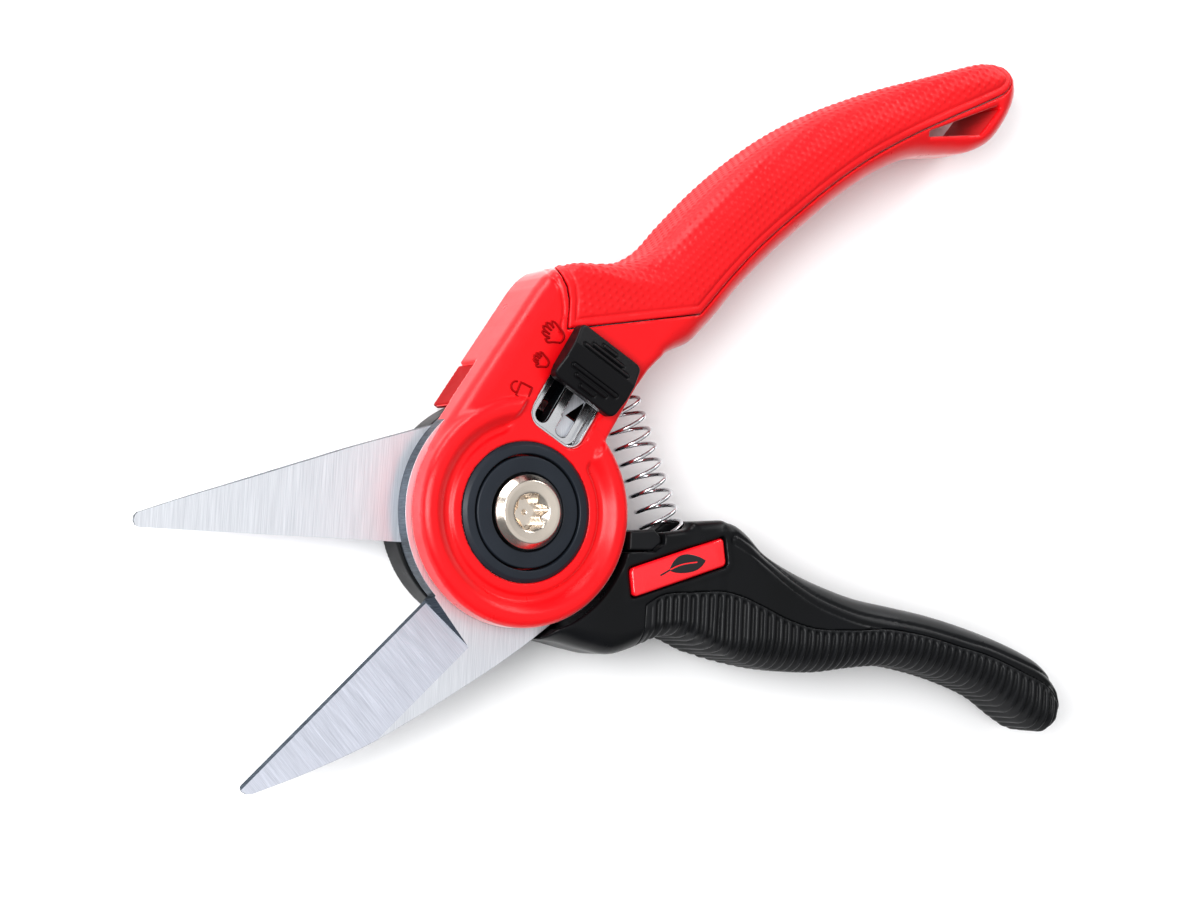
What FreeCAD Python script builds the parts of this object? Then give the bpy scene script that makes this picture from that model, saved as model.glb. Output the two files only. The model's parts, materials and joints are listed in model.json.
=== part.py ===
import FreeCAD, Part
import math
import os

import Sketcher
from FreeCAD import Placement, Rotation, Vector

# Hand pruning shears with two straight blades, held open by a spring.
#
# Frame: millimetres, +Z up out of the front face. The origin is on the pivot's axis, in the
# plane of the rear faces that the shears lie on. The blades point to -X, the handles to +X.
# Each half is drawn with its cutting edge along -X and is then turned about the pivot:
# the red half by RedTurn, the black half by BlackTurn. They are drawn open, as at rest.

SIZES = {
    # how far each half is turned from the closed position, in degrees
    "RedTurn": 21.0,
    "BlackTurn": -24.0,
    # levels of the stack on the pivot, from the rear face to the front
    "CounterboreDepth": 4.7,
    "NutHeight": 3.8,
    "RearWasherTop": 4.6,
    "RearBladeLow": 6.2,
    "RearBladeHigh": 9.4,
    "FrontBladeLow": 9.6,
    "FrontBladeHigh": 12.8,
    "BladeThickness": 3.2,
    "SeatLevel": 13.8,
    "HeadSeat": 15.2,
    "FaceLevel": 17.0,
    "WasherFace": 17.7,
    "RingCrest": 17.8,
    "BoltShoulder": 18.3,
    "BoltTop": 19.5,
    "BoltEnd": 1.0,
    # radii about the pivot
    "DiscRadius": 20.0,
    "RedDiscRadius": 20.3,
    "BlackDiscRadius": 20.5,
    "CollarRadius": 21.6,
    "CounterboreRadius": 9.2,
    "BoltRadius": 4.0,
    "BushInner": 4.05,
    "BushOuter": 5.5,
    "BoreRadius": 5.55,
    "RearWasherOuter": 8.6,
    "NutCorner": 7.5,
    "BladeWasherOuter": 9.0,
    "WasherHole": 7.0,
    "WasherOuter": 10.15,
    "RingInner": 10.25,
    "RingOuter": 12.4,
    "BoltHeadOuter": 6.6,
    "BoltHeadFlat": 5.35,
    # six-lobe recess in the bolt's head
    "RecessCore": 2.2,
    "RecessLobe": 0.85,
    "RecessReach": 2.15,
    "RecessDepth": 2.8,
    # blades
    "EdgeThickness": 0.25,
    "FrontBevelAngle": 15.3,
    "RearBevelAngle": 17.0,
    # lock: a slot in the red head, at SlotTurn from the red half's own X axis
    "SlotTurn": 15.0,
    "SlotHalfWidth": 6.0,
    "SlotLength": 16.8,
    "LockRest": 13.7,
    "ButtonLength": 10.4,
    "ButtonWidth": 13.5,
    "ButtonLow": 17.6,
    "ButtonHigh": 22.0,
    "ButtonEdge": 20.3,
    "ButtonCorner": 1.6,
    "SliderLow": 13.95,
    "PlateThickness": 1.0,
    "LockPinRadius": 1.1,
    "LockPinLow": 7.0,
    "LockPinLength": 8.0,
    # return spring, parallel to Y in the rest position
    "SpringAxisX": 28.4,
    "SpringAxisZ": 9.5,
    "SpringLow": -18.65,
    "SpringHigh": 14.95,
    "SpringRadius": 3.65,
    "SpringWire": 0.36,
    "SpringPitch": 2.86,
    "PocketRadius": 4.6,
    "SeatFlange": 3.4,
    "SeatFlangeThickness": 0.8,
    "SeatBoss": 2.6,
    "SeatBossLength": 3.2,
    # pins that hold each blade's tang in its handle
    "TangPinRadius": 1.6,
    # badge let into the black handle's face
    "BadgeTurn": 19.2,
    "BadgeHeight": 1.6,
    "BadgeRound": 0.5,
    # stop pad on the black handle
    "PadHeight": 9.0,
}

DOC = FreeCAD.newDocument("pruning_shears")
SHEET = DOC.addObject("Spreadsheet::Sheet", "Sizes")
for row, (alias, number) in enumerate(SIZES.items(), start=1):
    SHEET.set("A%d" % row, alias)
    SHEET.set("B%d" % row, str(number))
    SHEET.setAlias("B%d" % row, alias)
DOC.recompute()

PARTS = []
Z_AXIS = Vector(0, 0, 1)


def size(alias):
    return float(SHEET.get(alias))


def keep(thing):
    PARTS.append(thing)
    return thing


# ---------------------------------------------------------------- places


def half_placement(turn_cell, height=0.0):
    """The place of a half that is drawn closed and turned about the pivot."""
    return Placement(Vector(0, 0, height), Rotation(Z_AXIS, size(turn_cell)))


def turn_with_half(thing, turn_cell, height_cell=None):
    thing.Placement = half_placement(turn_cell, size(height_cell) if height_cell else 0.0)
    thing.setExpression("Placement.Rotation.Angle", "Sizes.%s" % turn_cell)
    if height_cell:
        thing.setExpression("Placement.Base.z", "Sizes.%s" % height_cell)


def slot_placement(height=0.0):
    """Slot frame: origin at the slot's end nearest the pivot, X along the slot."""
    return Placement(SLOT_START + Vector(0, 0, height), Rotation(Z_AXIS, size("SlotTurn")))


def local_shape(thing, turn_cell):
    """A finished part's shape in the closed frame of its half."""
    shape = thing.Shape.copy()
    shape.Placement = half_placement(turn_cell).inverse().multiply(shape.Placement)
    return shape


# ---------------------------------------------------------------- outlines


def on_circle(radius, degrees):
    angle = math.radians(degrees)
    return Vector(radius * math.cos(angle), radius * math.sin(angle), 0)


def line(start, end):
    return Part.LineSegment(Vector(*start), Vector(*end))


def arc(radius, start_degrees, end_degrees):
    middle = (start_degrees + end_degrees) / 2
    points = [on_circle(radius, a) for a in (start_degrees, middle, end_degrees)]
    return Part.Arc(*points)


def through(points):
    curve = Part.BSplineCurve()
    curve.interpolate([Vector(*point) for point in points])
    return curve


def polyline(points):
    corners = [Vector(*point) for point in points]
    return [line(a, b) for a, b in zip(corners, corners[1:] + corners[:1])]


def rounded_slot(start, end, half_width):
    """A slot with round ends, from centre to centre along X."""
    return [
        line((start[0], start[1] - half_width), (end[0], end[1] - half_width)),
        Part.Arc(
            Vector(end[0], end[1] - half_width),
            Vector(end[0] + half_width, end[1]),
            Vector(end[0], end[1] + half_width),
        ),
        line((end[0], end[1] + half_width), (start[0], start[1] + half_width)),
        Part.Arc(
            Vector(start[0], start[1] + half_width),
            Vector(start[0] - half_width, start[1]),
            Vector(start[0], start[1] - half_width),
        ),
    ]


def prism(curves, low, high):
    """A solid between two levels over a closed outline."""
    wire = Part.Wire(Part.__sortEdges__([curve.toShape() for curve in curves]))
    face = Part.Face(wire)
    face.translate(Vector(0, 0, low))
    return face.extrude(Vector(0, 0, high - low))


def column(radius, low, high, x=0.0, y=0.0):
    return Part.makeCylinder(radius, high - low, Vector(x, y, low))


# ---------------------------------------------------------------- sketches and bodies


def new_body(label):
    body = DOC.addObject("PartDesign::Body", label)
    body.Label = label
    return body


def new_sketch(body, name, role="XY_Plane"):
    sketch = body.newObject("Sketcher::SketchObject", name)
    plane = [item for item in body.Origin.OriginFeatures if item.Role == role][0]
    sketch.AttachmentSupport = [(plane, "")]
    sketch.MapMode = "FlatFace"
    return sketch


def bind(sketch, constraint, cell):
    sketch.setExpression("Constraints[%d]" % constraint, "Sizes.%s" % cell)


def add_circle(sketch, radius_cell):
    """A circle on the sketch's origin, with its radius bound to the sheet."""
    circle = sketch.addGeometry(Part.Circle(Vector(), Z_AXIS, size(radius_cell)))
    sketch.addConstraint(Sketcher.Constraint("Coincident", circle, 3, -1, 1))
    radius = sketch.addConstraint(Sketcher.Constraint("Radius", circle, size(radius_cell)))
    bind(sketch, radius, radius_cell)


def pad(body, sketch, length_cell, name="Pad"):
    feature = body.newObject("PartDesign::Pad", name)
    feature.Profile = sketch
    feature.Length = size(length_cell)
    feature.setExpression("Length", "Sizes.%s" % length_cell)
    return feature


def pocket(body, sketch, length, name, reverse=False):
    """A pocket that has to take material away."""
    DOC.recompute()
    before = body.Shape.Volume
    feature = body.newObject("PartDesign::Pocket", name)
    feature.Profile = sketch
    feature.Length = length
    feature.Reversed = reverse
    DOC.recompute()
    if body.Shape.Volume > before - 0.01:
        raise RuntimeError("%s cut nothing" % name)
    return feature


def turned_body(label, corners):
    """A solid of revolution about Z. Each corner is a radius cell and a level cell, or None for 0."""
    body = new_body(label)
    sketch = new_sketch(body, label + "_section", "XZ_Plane")
    points = [
        Vector(size(radius) if radius else 0.0, size(level) if level else 0.0, 0)
        for radius, level in corners
    ]
    count = len(points)
    for index, point in enumerate(points):
        sketch.addGeometry(Part.LineSegment(point, points[(index + 1) % count]))
    for index in range(count):
        sketch.addConstraint(Sketcher.Constraint("Coincident", index, 2, (index + 1) % count, 1))
    for index, (radius, level) in enumerate(corners):
        for kind, cell, axis in (("DistanceX", radius, -2), ("DistanceY", level, -1)):
            if cell:
                number = sketch.addConstraint(
                    Sketcher.Constraint(kind, -1, 1, index, 1, size(cell))
                )
                bind(sketch, number, cell)
            else:
                sketch.addConstraint(Sketcher.Constraint("PointOnObject", index, 1, axis))
    turn = body.newObject("PartDesign::Revolution", label + "_turn")
    turn.Profile = sketch
    turn.ReferenceAxis = (sketch, ["V_Axis"])
    turn.Angle = 360.0
    return body


def primitive(kind, name, **bound):
    """A Part primitive whose named properties are bound to cells of the sheet."""
    thing = DOC.addObject(kind, name)
    for prop, cell in bound.items():
        setattr(thing, prop, size(cell))
        thing.setExpression(prop, "Sizes.%s" % cell)
    return thing


def joined(label, pieces):
    fuse = DOC.addObject("Part::MultiFuse", label)
    fuse.Label = label
    fuse.Shapes = pieces
    return fuse


def coded(label, shape, placement=None):
    """A sub-part whose free form is worked out in code."""
    thing = DOC.addObject("Part::Feature", label)
    thing.Label = label
    thing.Shape = shape
    thing.Placement = placement if placement else Placement()
    return thing


# ---------------------------------------------------------------- places shared by several parts

SLOT_START = Vector(12.8, 6.5, 0)
SLOT_CORNER = 3.0
PIN_OFFSET = 2.3  # of the lock pin across the slot
PIN_AHEAD = 1.0  # of the lock pin along the slot, from the button's middle
PIN_TRACK = (3.3, 14.8)  # reach of the pin's middle along the slot
PIN_TRACK_HALF_WIDTH = 1.4
RED_TANG_PINS = [(44.0, 13.2), (56.0, 9.6)]
BLACK_TANG_PINS = [(42.0, -14.2), (55.0, -16.4)]
TANG_PIN_SPAN = (3.6, 15.4)


# ---------------------------------------------------------------- pivot stack


def make_pivot_bolt():
    body = turned_body(
        "pivot_bolt",
        [
            (None, "BoltEnd"),
            ("BoltRadius", "BoltEnd"),
            ("BoltRadius", "HeadSeat"),
            ("BoltHeadOuter", "HeadSeat"),
            ("BoltHeadOuter", "BoltShoulder"),
            ("BoltHeadFlat", "BoltTop"),
            (None, "BoltTop"),
        ],
    )
    core = new_sketch(body, "recess_core")
    core.AttachmentOffset = Placement(Vector(0, 0, size("BoltTop")), Rotation())
    add_circle(core, "RecessCore")
    pocket(body, core, size("RecessDepth"), "recess_middle")
    lobe = new_sketch(body, "recess_lobe")
    lobe.AttachmentOffset = Placement(Vector(0, 0, size("BoltTop")), Rotation())
    reach = size("RecessReach")
    lobe.addGeometry(Part.Circle(Vector(reach, 0, 0), Z_AXIS, size("RecessLobe")))
    first = pocket(body, lobe, size("RecessDepth"), "recess_first_lobe")
    pattern = body.newObject("PartDesign::PolarPattern", "recess_lobes")
    pattern.Originals = [first]
    pattern.Axis = (lobe, ["N_Axis"])
    pattern.Angle = 360.0
    pattern.Occurrences = 6
    body.Tip = pattern
    return body


def make_pivot_nut():
    body = new_body("pivot_nut")
    block = body.newObject("PartDesign::AdditivePrism", "hexagon")
    block.Polygon = 6
    block.Circumradius = size("NutCorner")
    block.setExpression("Circumradius", "Sizes.NutCorner")
    block.Height = size("NutHeight")
    block.setExpression("Height", "Sizes.NutHeight")
    hole = new_sketch(body, "thread")
    hole.AttachmentOffset = Placement(Vector(0, 0, size("NutHeight")), Rotation())
    add_circle(hole, "BoltRadius")
    pocket(body, hole, size("NutHeight") - size("BoltEnd"), "thread_hole")
    return body


def make_ring(label, inner_cell, outer_cell, low_cell, high_cell):
    return turned_body(
        label,
        [
            (inner_cell, low_cell),
            (outer_cell, low_cell),
            (outer_cell, high_cell),
            (inner_cell, high_cell),
        ],
    )


def make_front_ring():
    """Dark ring whose face slopes up from its rim to the washer."""
    return turned_body(
        "front_ring",
        [
            ("RingInner", "SeatLevel"),
            ("RingOuter", "SeatLevel"),
            ("RingOuter", "FaceLevel"),
            ("RingInner", "RingCrest"),
        ],
    )


def make_front_washer():
    """Dark washer with a counterbore that the bolt's head sits in."""
    return turned_body(
        "front_washer",
        [
            ("BushInner", "SeatLevel"),
            ("WasherOuter", "SeatLevel"),
            ("WasherOuter", "WasherFace"),
            ("WasherHole", "WasherFace"),
            ("WasherHole", "HeadSeat"),
            ("BushInner", "HeadSeat"),
        ],
    )


# ---------------------------------------------------------------- blades

GRIND_END = -22.6
GRIND_LEAN = 2.4


def blade_body(label, outline, low_cell):
    body = new_body(label)
    sketch = new_sketch(body, label + "_outline")
    for curve in outline:
        sketch.addGeometry(curve)
    pad(body, sketch, "BladeThickness")
    bore = new_sketch(body, label + "_bore")
    add_circle(bore, "BoreRadius")
    pocket(body, bore, size("BladeThickness"), label + "_bore_hole", reverse=True)
    body.Placement = Placement(Vector(0, 0, size(low_cell)), Rotation())
    return body


def drill_tang(body, places):
    holes = new_sketch(body, body.Label + "_pin_holes")
    for x, y in places:
        holes.addGeometry(Part.Circle(Vector(x, y, 0), Z_AXIS, size("TangPinRadius")))
    pocket(body, holes, size("BladeThickness"), body.Label + "_tang_holes", reverse=True)


def grind(body, edge, tilt):
    """The ground face: a wedge taken off one side of the blade, from the cutting edge inwards.

    edge is a point of the cutting edge. tilt turns the wedge, which stands on the ground face.
    """
    before = body.Shape.Volume
    wedge = body.newObject("PartDesign::SubtractiveWedge", body.Label + "_grind")
    wedge.Xmin = -90.0
    wedge.X2min = -90.0
    wedge.Xmax = GRIND_END
    wedge.X2max = GRIND_END + GRIND_LEAN
    wedge.Ymin = 0.0
    wedge.Ymax = 6.0
    wedge.Zmin = 0.0
    wedge.Z2min = 0.0
    wedge.Zmax = 30.0
    wedge.Z2max = 30.0
    plane = [item for item in body.Origin.OriginFeatures if item.Role == "XY_Plane"][0]
    wedge.AttachmentSupport = [(plane, "")]
    wedge.MapMode = "ObjectXY"
    wedge.AttachmentOffset = Placement(edge, Rotation(Vector(1, 0, 0), tilt))
    DOC.recompute()
    if body.Shape.Volume > before - 100.0:
        raise RuntimeError("%s: the grind cut nothing" % body.Label)


def make_front_blade():
    """Blade of the red half: it cuts along its upper edge, with the ground face to the front."""
    radius = size("DiscRadius")
    edge_y = -0.4
    edge_start = (-math.sqrt(radius**2 - edge_y**2), edge_y)
    tang_low_angle = 18.0
    tang_high_angle = 62.0
    spine = [
        (-68.0, -2.9),
        (-60.0, -6.3),
        (-50.0, -10.0),
        (-40.0, -12.9),
        (-30.0, -15.3),
        (-20.0, -17.5),
        (-10.0, -19.1),
        (0.0, -20.0),
    ]
    edge_angle = 180.0 + math.degrees(math.asin(-edge_y / radius))
    tang = [
        on_circle(radius, tang_low_angle),
        Vector(28.0, 8.6),
        Vector(62.0, 5.6),
        Vector(62.0, 10.8),
        Vector(38.0, 18.6),
        Vector(18.0, 20.2),
        on_circle(radius, tang_high_angle),
    ]
    outline = [
        line(edge_start, (-68.4, edge_y)),
        Part.Arc(Vector(-68.4, edge_y), Vector(-69.2, -1.5), Vector(*spine[0])),
        through(spine),
        arc(radius, -90.0, tang_low_angle),
        *[Part.LineSegment(a, b) for a, b in zip(tang, tang[1:])],
        arc(radius, tang_high_angle, edge_angle),
    ]
    body = blade_body("front_blade", outline, "FrontBladeLow")
    track = new_sketch(body, "pin_track")
    track.AttachmentOffset = slot_placement()
    start, end = PIN_TRACK
    for curve in rounded_slot((start, PIN_OFFSET), (end, PIN_OFFSET), PIN_TRACK_HALF_WIDTH):
        track.addGeometry(curve)
    pocket(body, track, size("BladeThickness"), "pin_track_cut", reverse=True)
    drill_tang(body, RED_TANG_PINS)
    grind(body, Vector(0, edge_y, size("EdgeThickness")), 90.0 - size("FrontBevelAngle"))
    turn_with_half(body, "RedTurn", "FrontBladeLow")
    return body


def make_rear_blade():
    """Blade of the black half: it cuts along its lower edge, with the ground face to the rear."""
    radius = size("DiscRadius")
    edge_y = -6.2
    edge_start = (-math.sqrt(radius**2 - edge_y**2), edge_y)
    edge_angle = 180.0 + math.degrees(math.asin(-edge_y / radius))
    relief_radius = 16.0  # the lock pin passes here at every opening of the shears
    relief_low = 12.0
    relief_high = 96.0
    spine = [
        (-68.6, -3.7),
        (-60.0, -0.6),
        (-50.0, 2.8),
        (-40.0, 6.3),
        (-30.0, 9.8),
        (-20.0, 13.0),
        (-13.0, 15.2),
    ]
    spine[-1] = (-math.sqrt(radius**2 - 15.2**2), 15.2)
    spine_angle = 180.0 - math.degrees(math.asin(15.2 / radius))
    tang_high_angle = -24.0
    tang_low_angle = -64.0
    tang = [
        on_circle(radius, tang_low_angle),
        Vector(28.0, -17.2),
        Vector(61.0, -20.2),
        Vector(61.0, -14.2),
        Vector(28.0, -10.6),
        on_circle(radius, tang_high_angle),
    ]
    outline = [
        line(edge_start, (-68.3, edge_y)),
        Part.Arc(Vector(-68.3, edge_y), Vector(-69.4, -5.2), Vector(*spine[0])),
        through(spine),
        arc(radius, spine_angle, relief_high),
        Part.LineSegment(on_circle(radius, relief_high), on_circle(relief_radius, relief_high)),
        arc(relief_radius, relief_high, relief_low),
        Part.LineSegment(on_circle(relief_radius, relief_low), on_circle(radius, relief_low)),
        arc(radius, relief_low, tang_high_angle),
        *[Part.LineSegment(a, b) for a, b in zip(tang, tang[1:])],
        arc(radius, edge_angle, 360.0 + tang_low_angle),
    ]
    body = blade_body("rear_blade", outline, "RearBladeLow")
    drill_tang(body, BLACK_TANG_PINS)
    edge_level = size("BladeThickness") - size("EdgeThickness")
    grind(body, Vector(0, edge_y, edge_level), -90.0 - size("RearBevelAngle"))
    turn_with_half(body, "BlackTurn", "RearBladeLow")
    return body


# ---------------------------------------------------------------- grips: lofted free forms

SECTION_POINTS = 24


def grip_section(x, low, high, rear, front, squareness):
    """A closed section across the grip at x: an oval whose corners grow with squareness."""
    middle_y = (low + high) / 2
    middle_z = (rear + front) / 2
    half_y = (high - low) / 2
    half_z = (front - rear) / 2
    power = 2.0 / squareness
    points = []
    for index in range(SECTION_POINTS):
        angle = 2 * math.pi * index / SECTION_POINTS
        across = math.copysign(abs(math.cos(angle)) ** power, math.cos(angle))
        up = math.copysign(abs(math.sin(angle)) ** power, math.sin(angle))
        points.append(Vector(x, middle_y + half_y * across, middle_z + half_z * up))
    curve = Part.BSplineCurve()
    curve.interpolate(Points=points, PeriodicFlag=True)
    return Part.Wire(curve.toShape())


def grip_loft(stations, inset=0.0):
    """A grip through its stations: x, lowest y, highest y, rear z, front z, squareness."""
    sections = []
    for x, low, high, rear, front, squareness in stations:
        sections.append(
            grip_section(x, low + inset, high - inset, rear + inset, front - inset, squareness)
        )
    solid = Part.makeLoft(sections, True)
    if not solid.isValid() or solid.Volume <= 0:
        raise RuntimeError("the grip's loft isn't a sound solid")
    return solid


RED_STATIONS = [
    (33.0, 2.9, 26.2, 1.8, 16.8, 5.0),
    (38.0, 2.9, 24.8, 1.0, 17.8, 4.0),
    (42.0, 1.6, 21.8, 0.5, 18.2, 3.4),
    (46.5, -0.2, 18.6, 0.2, 18.5, 3.0),
    (52.0, -0.3, 16.8, 0.1, 18.6, 2.8),
    (60.0, 0.4, 17.1, 0.1, 18.6, 2.8),
    (70.0, 0.5, 17.3, 0.1, 18.6, 2.8),
    (80.0, -0.1, 16.6, 0.1, 18.5, 2.8),
    (90.0, -1.1, 14.9, 0.1, 18.2, 2.8),
    (100.0, -3.1, 12.0, 0.2, 17.9, 2.8),
    (108.0, -6.1, 8.9, 0.4, 17.6, 3.0),
    (114.0, -10.2, 6.3, 0.6, 17.4, 3.2),
    (118.5, -13.3, 4.1, 0.8, 17.3, 3.4),
    (123.0, -14.5, 1.8, 1.0, 17.2, 3.6),
    (128.0, -14.0, -0.6, 1.1, 17.0, 3.6),
    (132.0, -12.9, -2.6, 1.4, 16.6, 3.4),
    (134.8, -11.5, -4.6, 2.0, 16.0, 3.0),
    (136.4, -10.3, -7.0, 3.4, 14.6, 2.6),
]

BLACK_STATIONS = [
    (34.0, -20.1, 0.0, 0.6, 17.2, 5.0),
    (39.0, -22.1, 0.4, 0.4, 17.6, 4.6),
    (43.0, -23.8, 0.2, 0.2, 17.9, 4.2),
    (46.5, -24.7, -1.5, 0.1, 18.1, 3.6),
    (50.0, -25.4, -4.2, 0.1, 18.2, 3.2),
    (56.0, -26.0, -7.3, 0.1, 18.2, 2.9),
    (63.0, -26.0, -9.9, 0.1, 18.2, 2.8),
    (71.0, -24.9, -12.1, 0.1, 18.2, 2.8),
    (79.0, -24.3, -13.3, 0.1, 18.2, 2.8),
    (87.0, -25.3, -14.5, 0.1, 18.0, 2.8),
    (95.0, -27.2, -16.2, 0.2, 17.8, 2.8),
    (103.0, -30.1, -18.4, 0.4, 17.6, 2.8),
    (109.0, -33.6, -20.6, 0.6, 17.4, 2.8),
    (113.0, -35.5, -22.5, 0.8, 17.2, 2.8),
    (116.0, -35.6, -24.8, 1.2, 16.8, 2.8),
    (118.0, -33.8, -27.6, 2.6, 15.4, 2.6),
]

RED_SKIN = 1.8
BLACK_SKIN = 1.8


def red_grip_zone():
    """Outline of the red half's textured overmould, seen from the front."""
    lower_edge = [
        (50.0, 3.2),
        (58.0, 3.9),
        (68.0, 4.2),
        (78.0, 3.6),
        (88.0, 2.6),
        (98.0, 0.9),
        (108.0, -1.7),
        (118.0, -4.9),
        (127.0, -8.0),
        (133.0, -9.6),
    ]
    return [
        line((33.4, 40.0), (32.6, 24.4)),
        line((32.6, 24.4), (29.4, 18.7)),
        line((29.4, 18.7), lower_edge[0]),
        through(lower_edge),
        Part.Arc(Vector(133.0, -9.6), Vector(135.6, -8.6), Vector(136.0, -5.8)),
        line((136.0, -5.8), (137.0, 40.0)),
        line((137.0, 40.0), (33.4, 40.0)),
    ]


def black_grip_zone():
    """Outline of the black half's ribbed overmould, seen from the front."""
    upper_edge = [
        (24.8, -15.2),
        (27.5, -13.5),
        (34.0, -12.5),
        (42.0, -12.3),
        (48.0, -14.2),
        (54.0, -16.6),
        (60.0, -18.0),
        (68.0, -18.0),
        (76.0, -17.6),
        (84.0, -18.4),
        (92.0, -20.1),
        (100.0, -21.9),
        (108.0, -24.8),
        (114.0, -27.4),
        (117.2, -30.4),
    ]
    return [
        line((24.4, -50.0), upper_edge[0]),
        through(upper_edge),
        line(upper_edge[-1], (117.8, -50.0)),
        line((117.8, -50.0), (24.4, -50.0)),
    ]


# ---------------------------------------------------------------- red half


RIDGE_INSET = 2.2


def ridge_profile():
    """Section of the raised rim round the red disc: outer wall, crest and channel."""
    low = size("FrontBladeHigh")
    face = size("FaceLevel")
    outer = size("RedDiscRadius")
    seat = size("RingOuter")
    crest = outer - RIDGE_INSET
    points = {
        "inner_low": Vector(seat, 0, low),
        "outer_low": Vector(outer, 0, low),
        "shoulder": Vector(outer, 0, face - 0.3),
        "crest": Vector(crest, 0, face + 1.3),
        "channel": Vector(crest - 2.7, 0, face - 0.8),
        "flat_start": Vector(crest - 4.1, 0, face),
        "inner_face": Vector(seat, 0, face),
    }
    edges = [
        Part.LineSegment(points["inner_low"], points["outer_low"]),
        Part.LineSegment(points["outer_low"], points["shoulder"]),
        Part.Arc(points["shoulder"], Vector(outer - 0.65, 0, face + 0.9), points["crest"]),
        Part.Arc(points["crest"], Vector(crest - 1.5, 0, face + 0.35), points["channel"]),
        Part.Arc(points["channel"], Vector(crest - 3.5, 0, face - 0.6), points["flat_start"]),
        Part.LineSegment(points["flat_start"], points["inner_face"]),
        Part.LineSegment(points["inner_face"], points["inner_low"]),
    ]
    return Part.Face(Part.Wire([edge.toShape() for edge in edges]))


WALL_START = 4.7  # left end of the head's outer wall beside the black half


def button_corridor(low, high):
    """The flat strip of the head that the lock button slides over."""
    strip = prism(polyline([(-8.0, -9.0), (26.0, -9.0), (26.0, 7.2), (-8.0, 7.2)]), low, high)
    strip.Placement = slot_placement()
    return strip


def red_head_outline():
    wall_start = on_circle(size("RedDiscRadius"), 104.5)
    return polyline(
        [
            wall_start,
            (-0.8, 20.95),
            (30.5, 27.7),
            (34.4, 27.4),
            (38.0, 24.6),
            (39.0, 22.0),
            (39.0, 3.0),
            (35.5, 2.7),
            (20.3, -1.4),
            (14.0, -2.2),
            (0.0, 0.0),
        ]
    )


def red_solid():
    """The red half with its overmould, in its closed frame, before they are parted."""
    radius = size("RedDiscRadius")
    low = size("FrontBladeHigh")
    face = size("FaceLevel")
    head_rear = 2.6
    rim = ridge_profile().revolve(Vector(), Z_AXIS, 360.0)
    disc = column(radius, low, face)
    corridor = button_corridor(low - 1.0, face + 4.0)
    round_head = rim.cut(corridor).fuse(disc.common(corridor))
    floor = column(13.0, low, size("SeatLevel"))
    block = prism(red_head_outline(), head_rear, face)
    front_edges = [
        edge
        for edge in block.Edges
        if abs(edge.CenterOfMass.z - face) < 0.01 and edge.CenterOfMass.y > 21.0
    ]
    block = block.makeFillet(1.4, front_edges)
    block = block.cut(column(radius - RIDGE_INSET, 0.0, face + 1.0))
    swept_by_black_half = column(size("CollarRadius"), 0.0, size("FrontBladeLow"))
    wall_end = Part.makeBox(WALL_START + 10.0, 40.0, size("FrontBladeLow"), Vector(-10.0, 0, 0))
    solid = block.fuse([round_head, floor, grip_loft(RED_STATIONS)])
    solid = solid.cut([swept_by_black_half, wall_end])
    ring_seat = column(size("RingOuter"), size("SeatLevel"), face + 5.0)
    return solid.cut([ring_seat, column(size("BoreRadius"), 0.0, face)])


def slot_cut():
    """The lock's slot through the red face down to the blade, and the pin's track behind it."""
    half = size("SlotHalfWidth")
    well = prism(
        polyline([(0, -half), (size("SlotLength"), -half), (size("SlotLength"), half), (0, half)]),
        size("FrontBladeHigh"),
        size("FaceLevel") + 5.0,
    )
    upright = [edge for edge in well.Edges if abs(edge.tangentAt(edge.FirstParameter).z) > 0.9]
    well = well.makeFillet(SLOT_CORNER, upright)
    start, end = PIN_TRACK
    track = prism(
        rounded_slot((start, PIN_OFFSET), (end, PIN_OFFSET), PIN_TRACK_HALF_WIDTH),
        size("LockPinLow") - 0.4,
        size("FrontBladeHigh"),
    )
    both = well.fuse(track)
    both.Placement = slot_placement()
    return both


def wall_notch():
    """The shallow notch in the head's outer wall, open to the rear."""
    recess = Part.makeBox(9.0, 3.0, 9.0, Vector(WALL_START, 0, 0))
    recess.rotate(Vector(WALL_START, 0, 0), Z_AXIS, 12.2)
    recess.translate(Vector(0, 20.6, 0))
    return recess


def lanyard_hole():
    """The long three-cornered hole through the red handle's end."""
    corners = [(111.9, -4.6), (113.9, -6.1), (121.1, -11.6), (128.2, -10.7), (128.1, -10.0), (112.4, -3.8)]
    return prism(polyline(corners), -1.0, 20.0)


def spring_pocket(turn_cell, start_y, end_y):
    """The round pocket for one end of the spring, in the closed frame of a half."""
    along = Vector(0, 1 if end_y > start_y else -1, 0)
    start = Vector(size("SpringAxisX"), start_y, size("SpringAxisZ"))
    pocket_shape = Part.makeCylinder(size("PocketRadius"), abs(end_y - start_y), start, along)
    pocket_shape.Placement = (
        half_placement(turn_cell).inverse().multiply(pocket_shape.Placement)
    )
    return pocket_shape


def tang_pin_shapes(places):
    low, high = TANG_PIN_SPAN
    return [column(size("TangPinRadius"), low, high, x, y) for x, y in places]


RED_POCKET_END = 15.75
BLACK_POCKET_END = -19.45


def make_red_half(blade):
    whole = red_solid()
    whole = whole.cut(
        [
            slot_cut(),
            wall_notch(),
            lanyard_hole(),
            spring_pocket("RedTurn", 5.0, RED_POCKET_END),
            local_shape(blade, "RedTurn"),
            *tang_pin_shapes(RED_TANG_PINS),
        ]
    )
    core = grip_loft(RED_STATIONS[1:-1], RED_SKIN)
    skin = whole.common(prism(red_grip_zone(), -2.0, 22.0)).cut(core)
    skin = largest_solid(skin)
    handle = largest_solid(whole.cut(skin))
    place = half_placement("RedTurn")
    return coded("red_handle", handle, place), coded("red_grip", skin, place)


def largest_solid(shape):
    return sorted(shape.Solids, key=lambda solid: solid.Volume)[-1]


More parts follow.
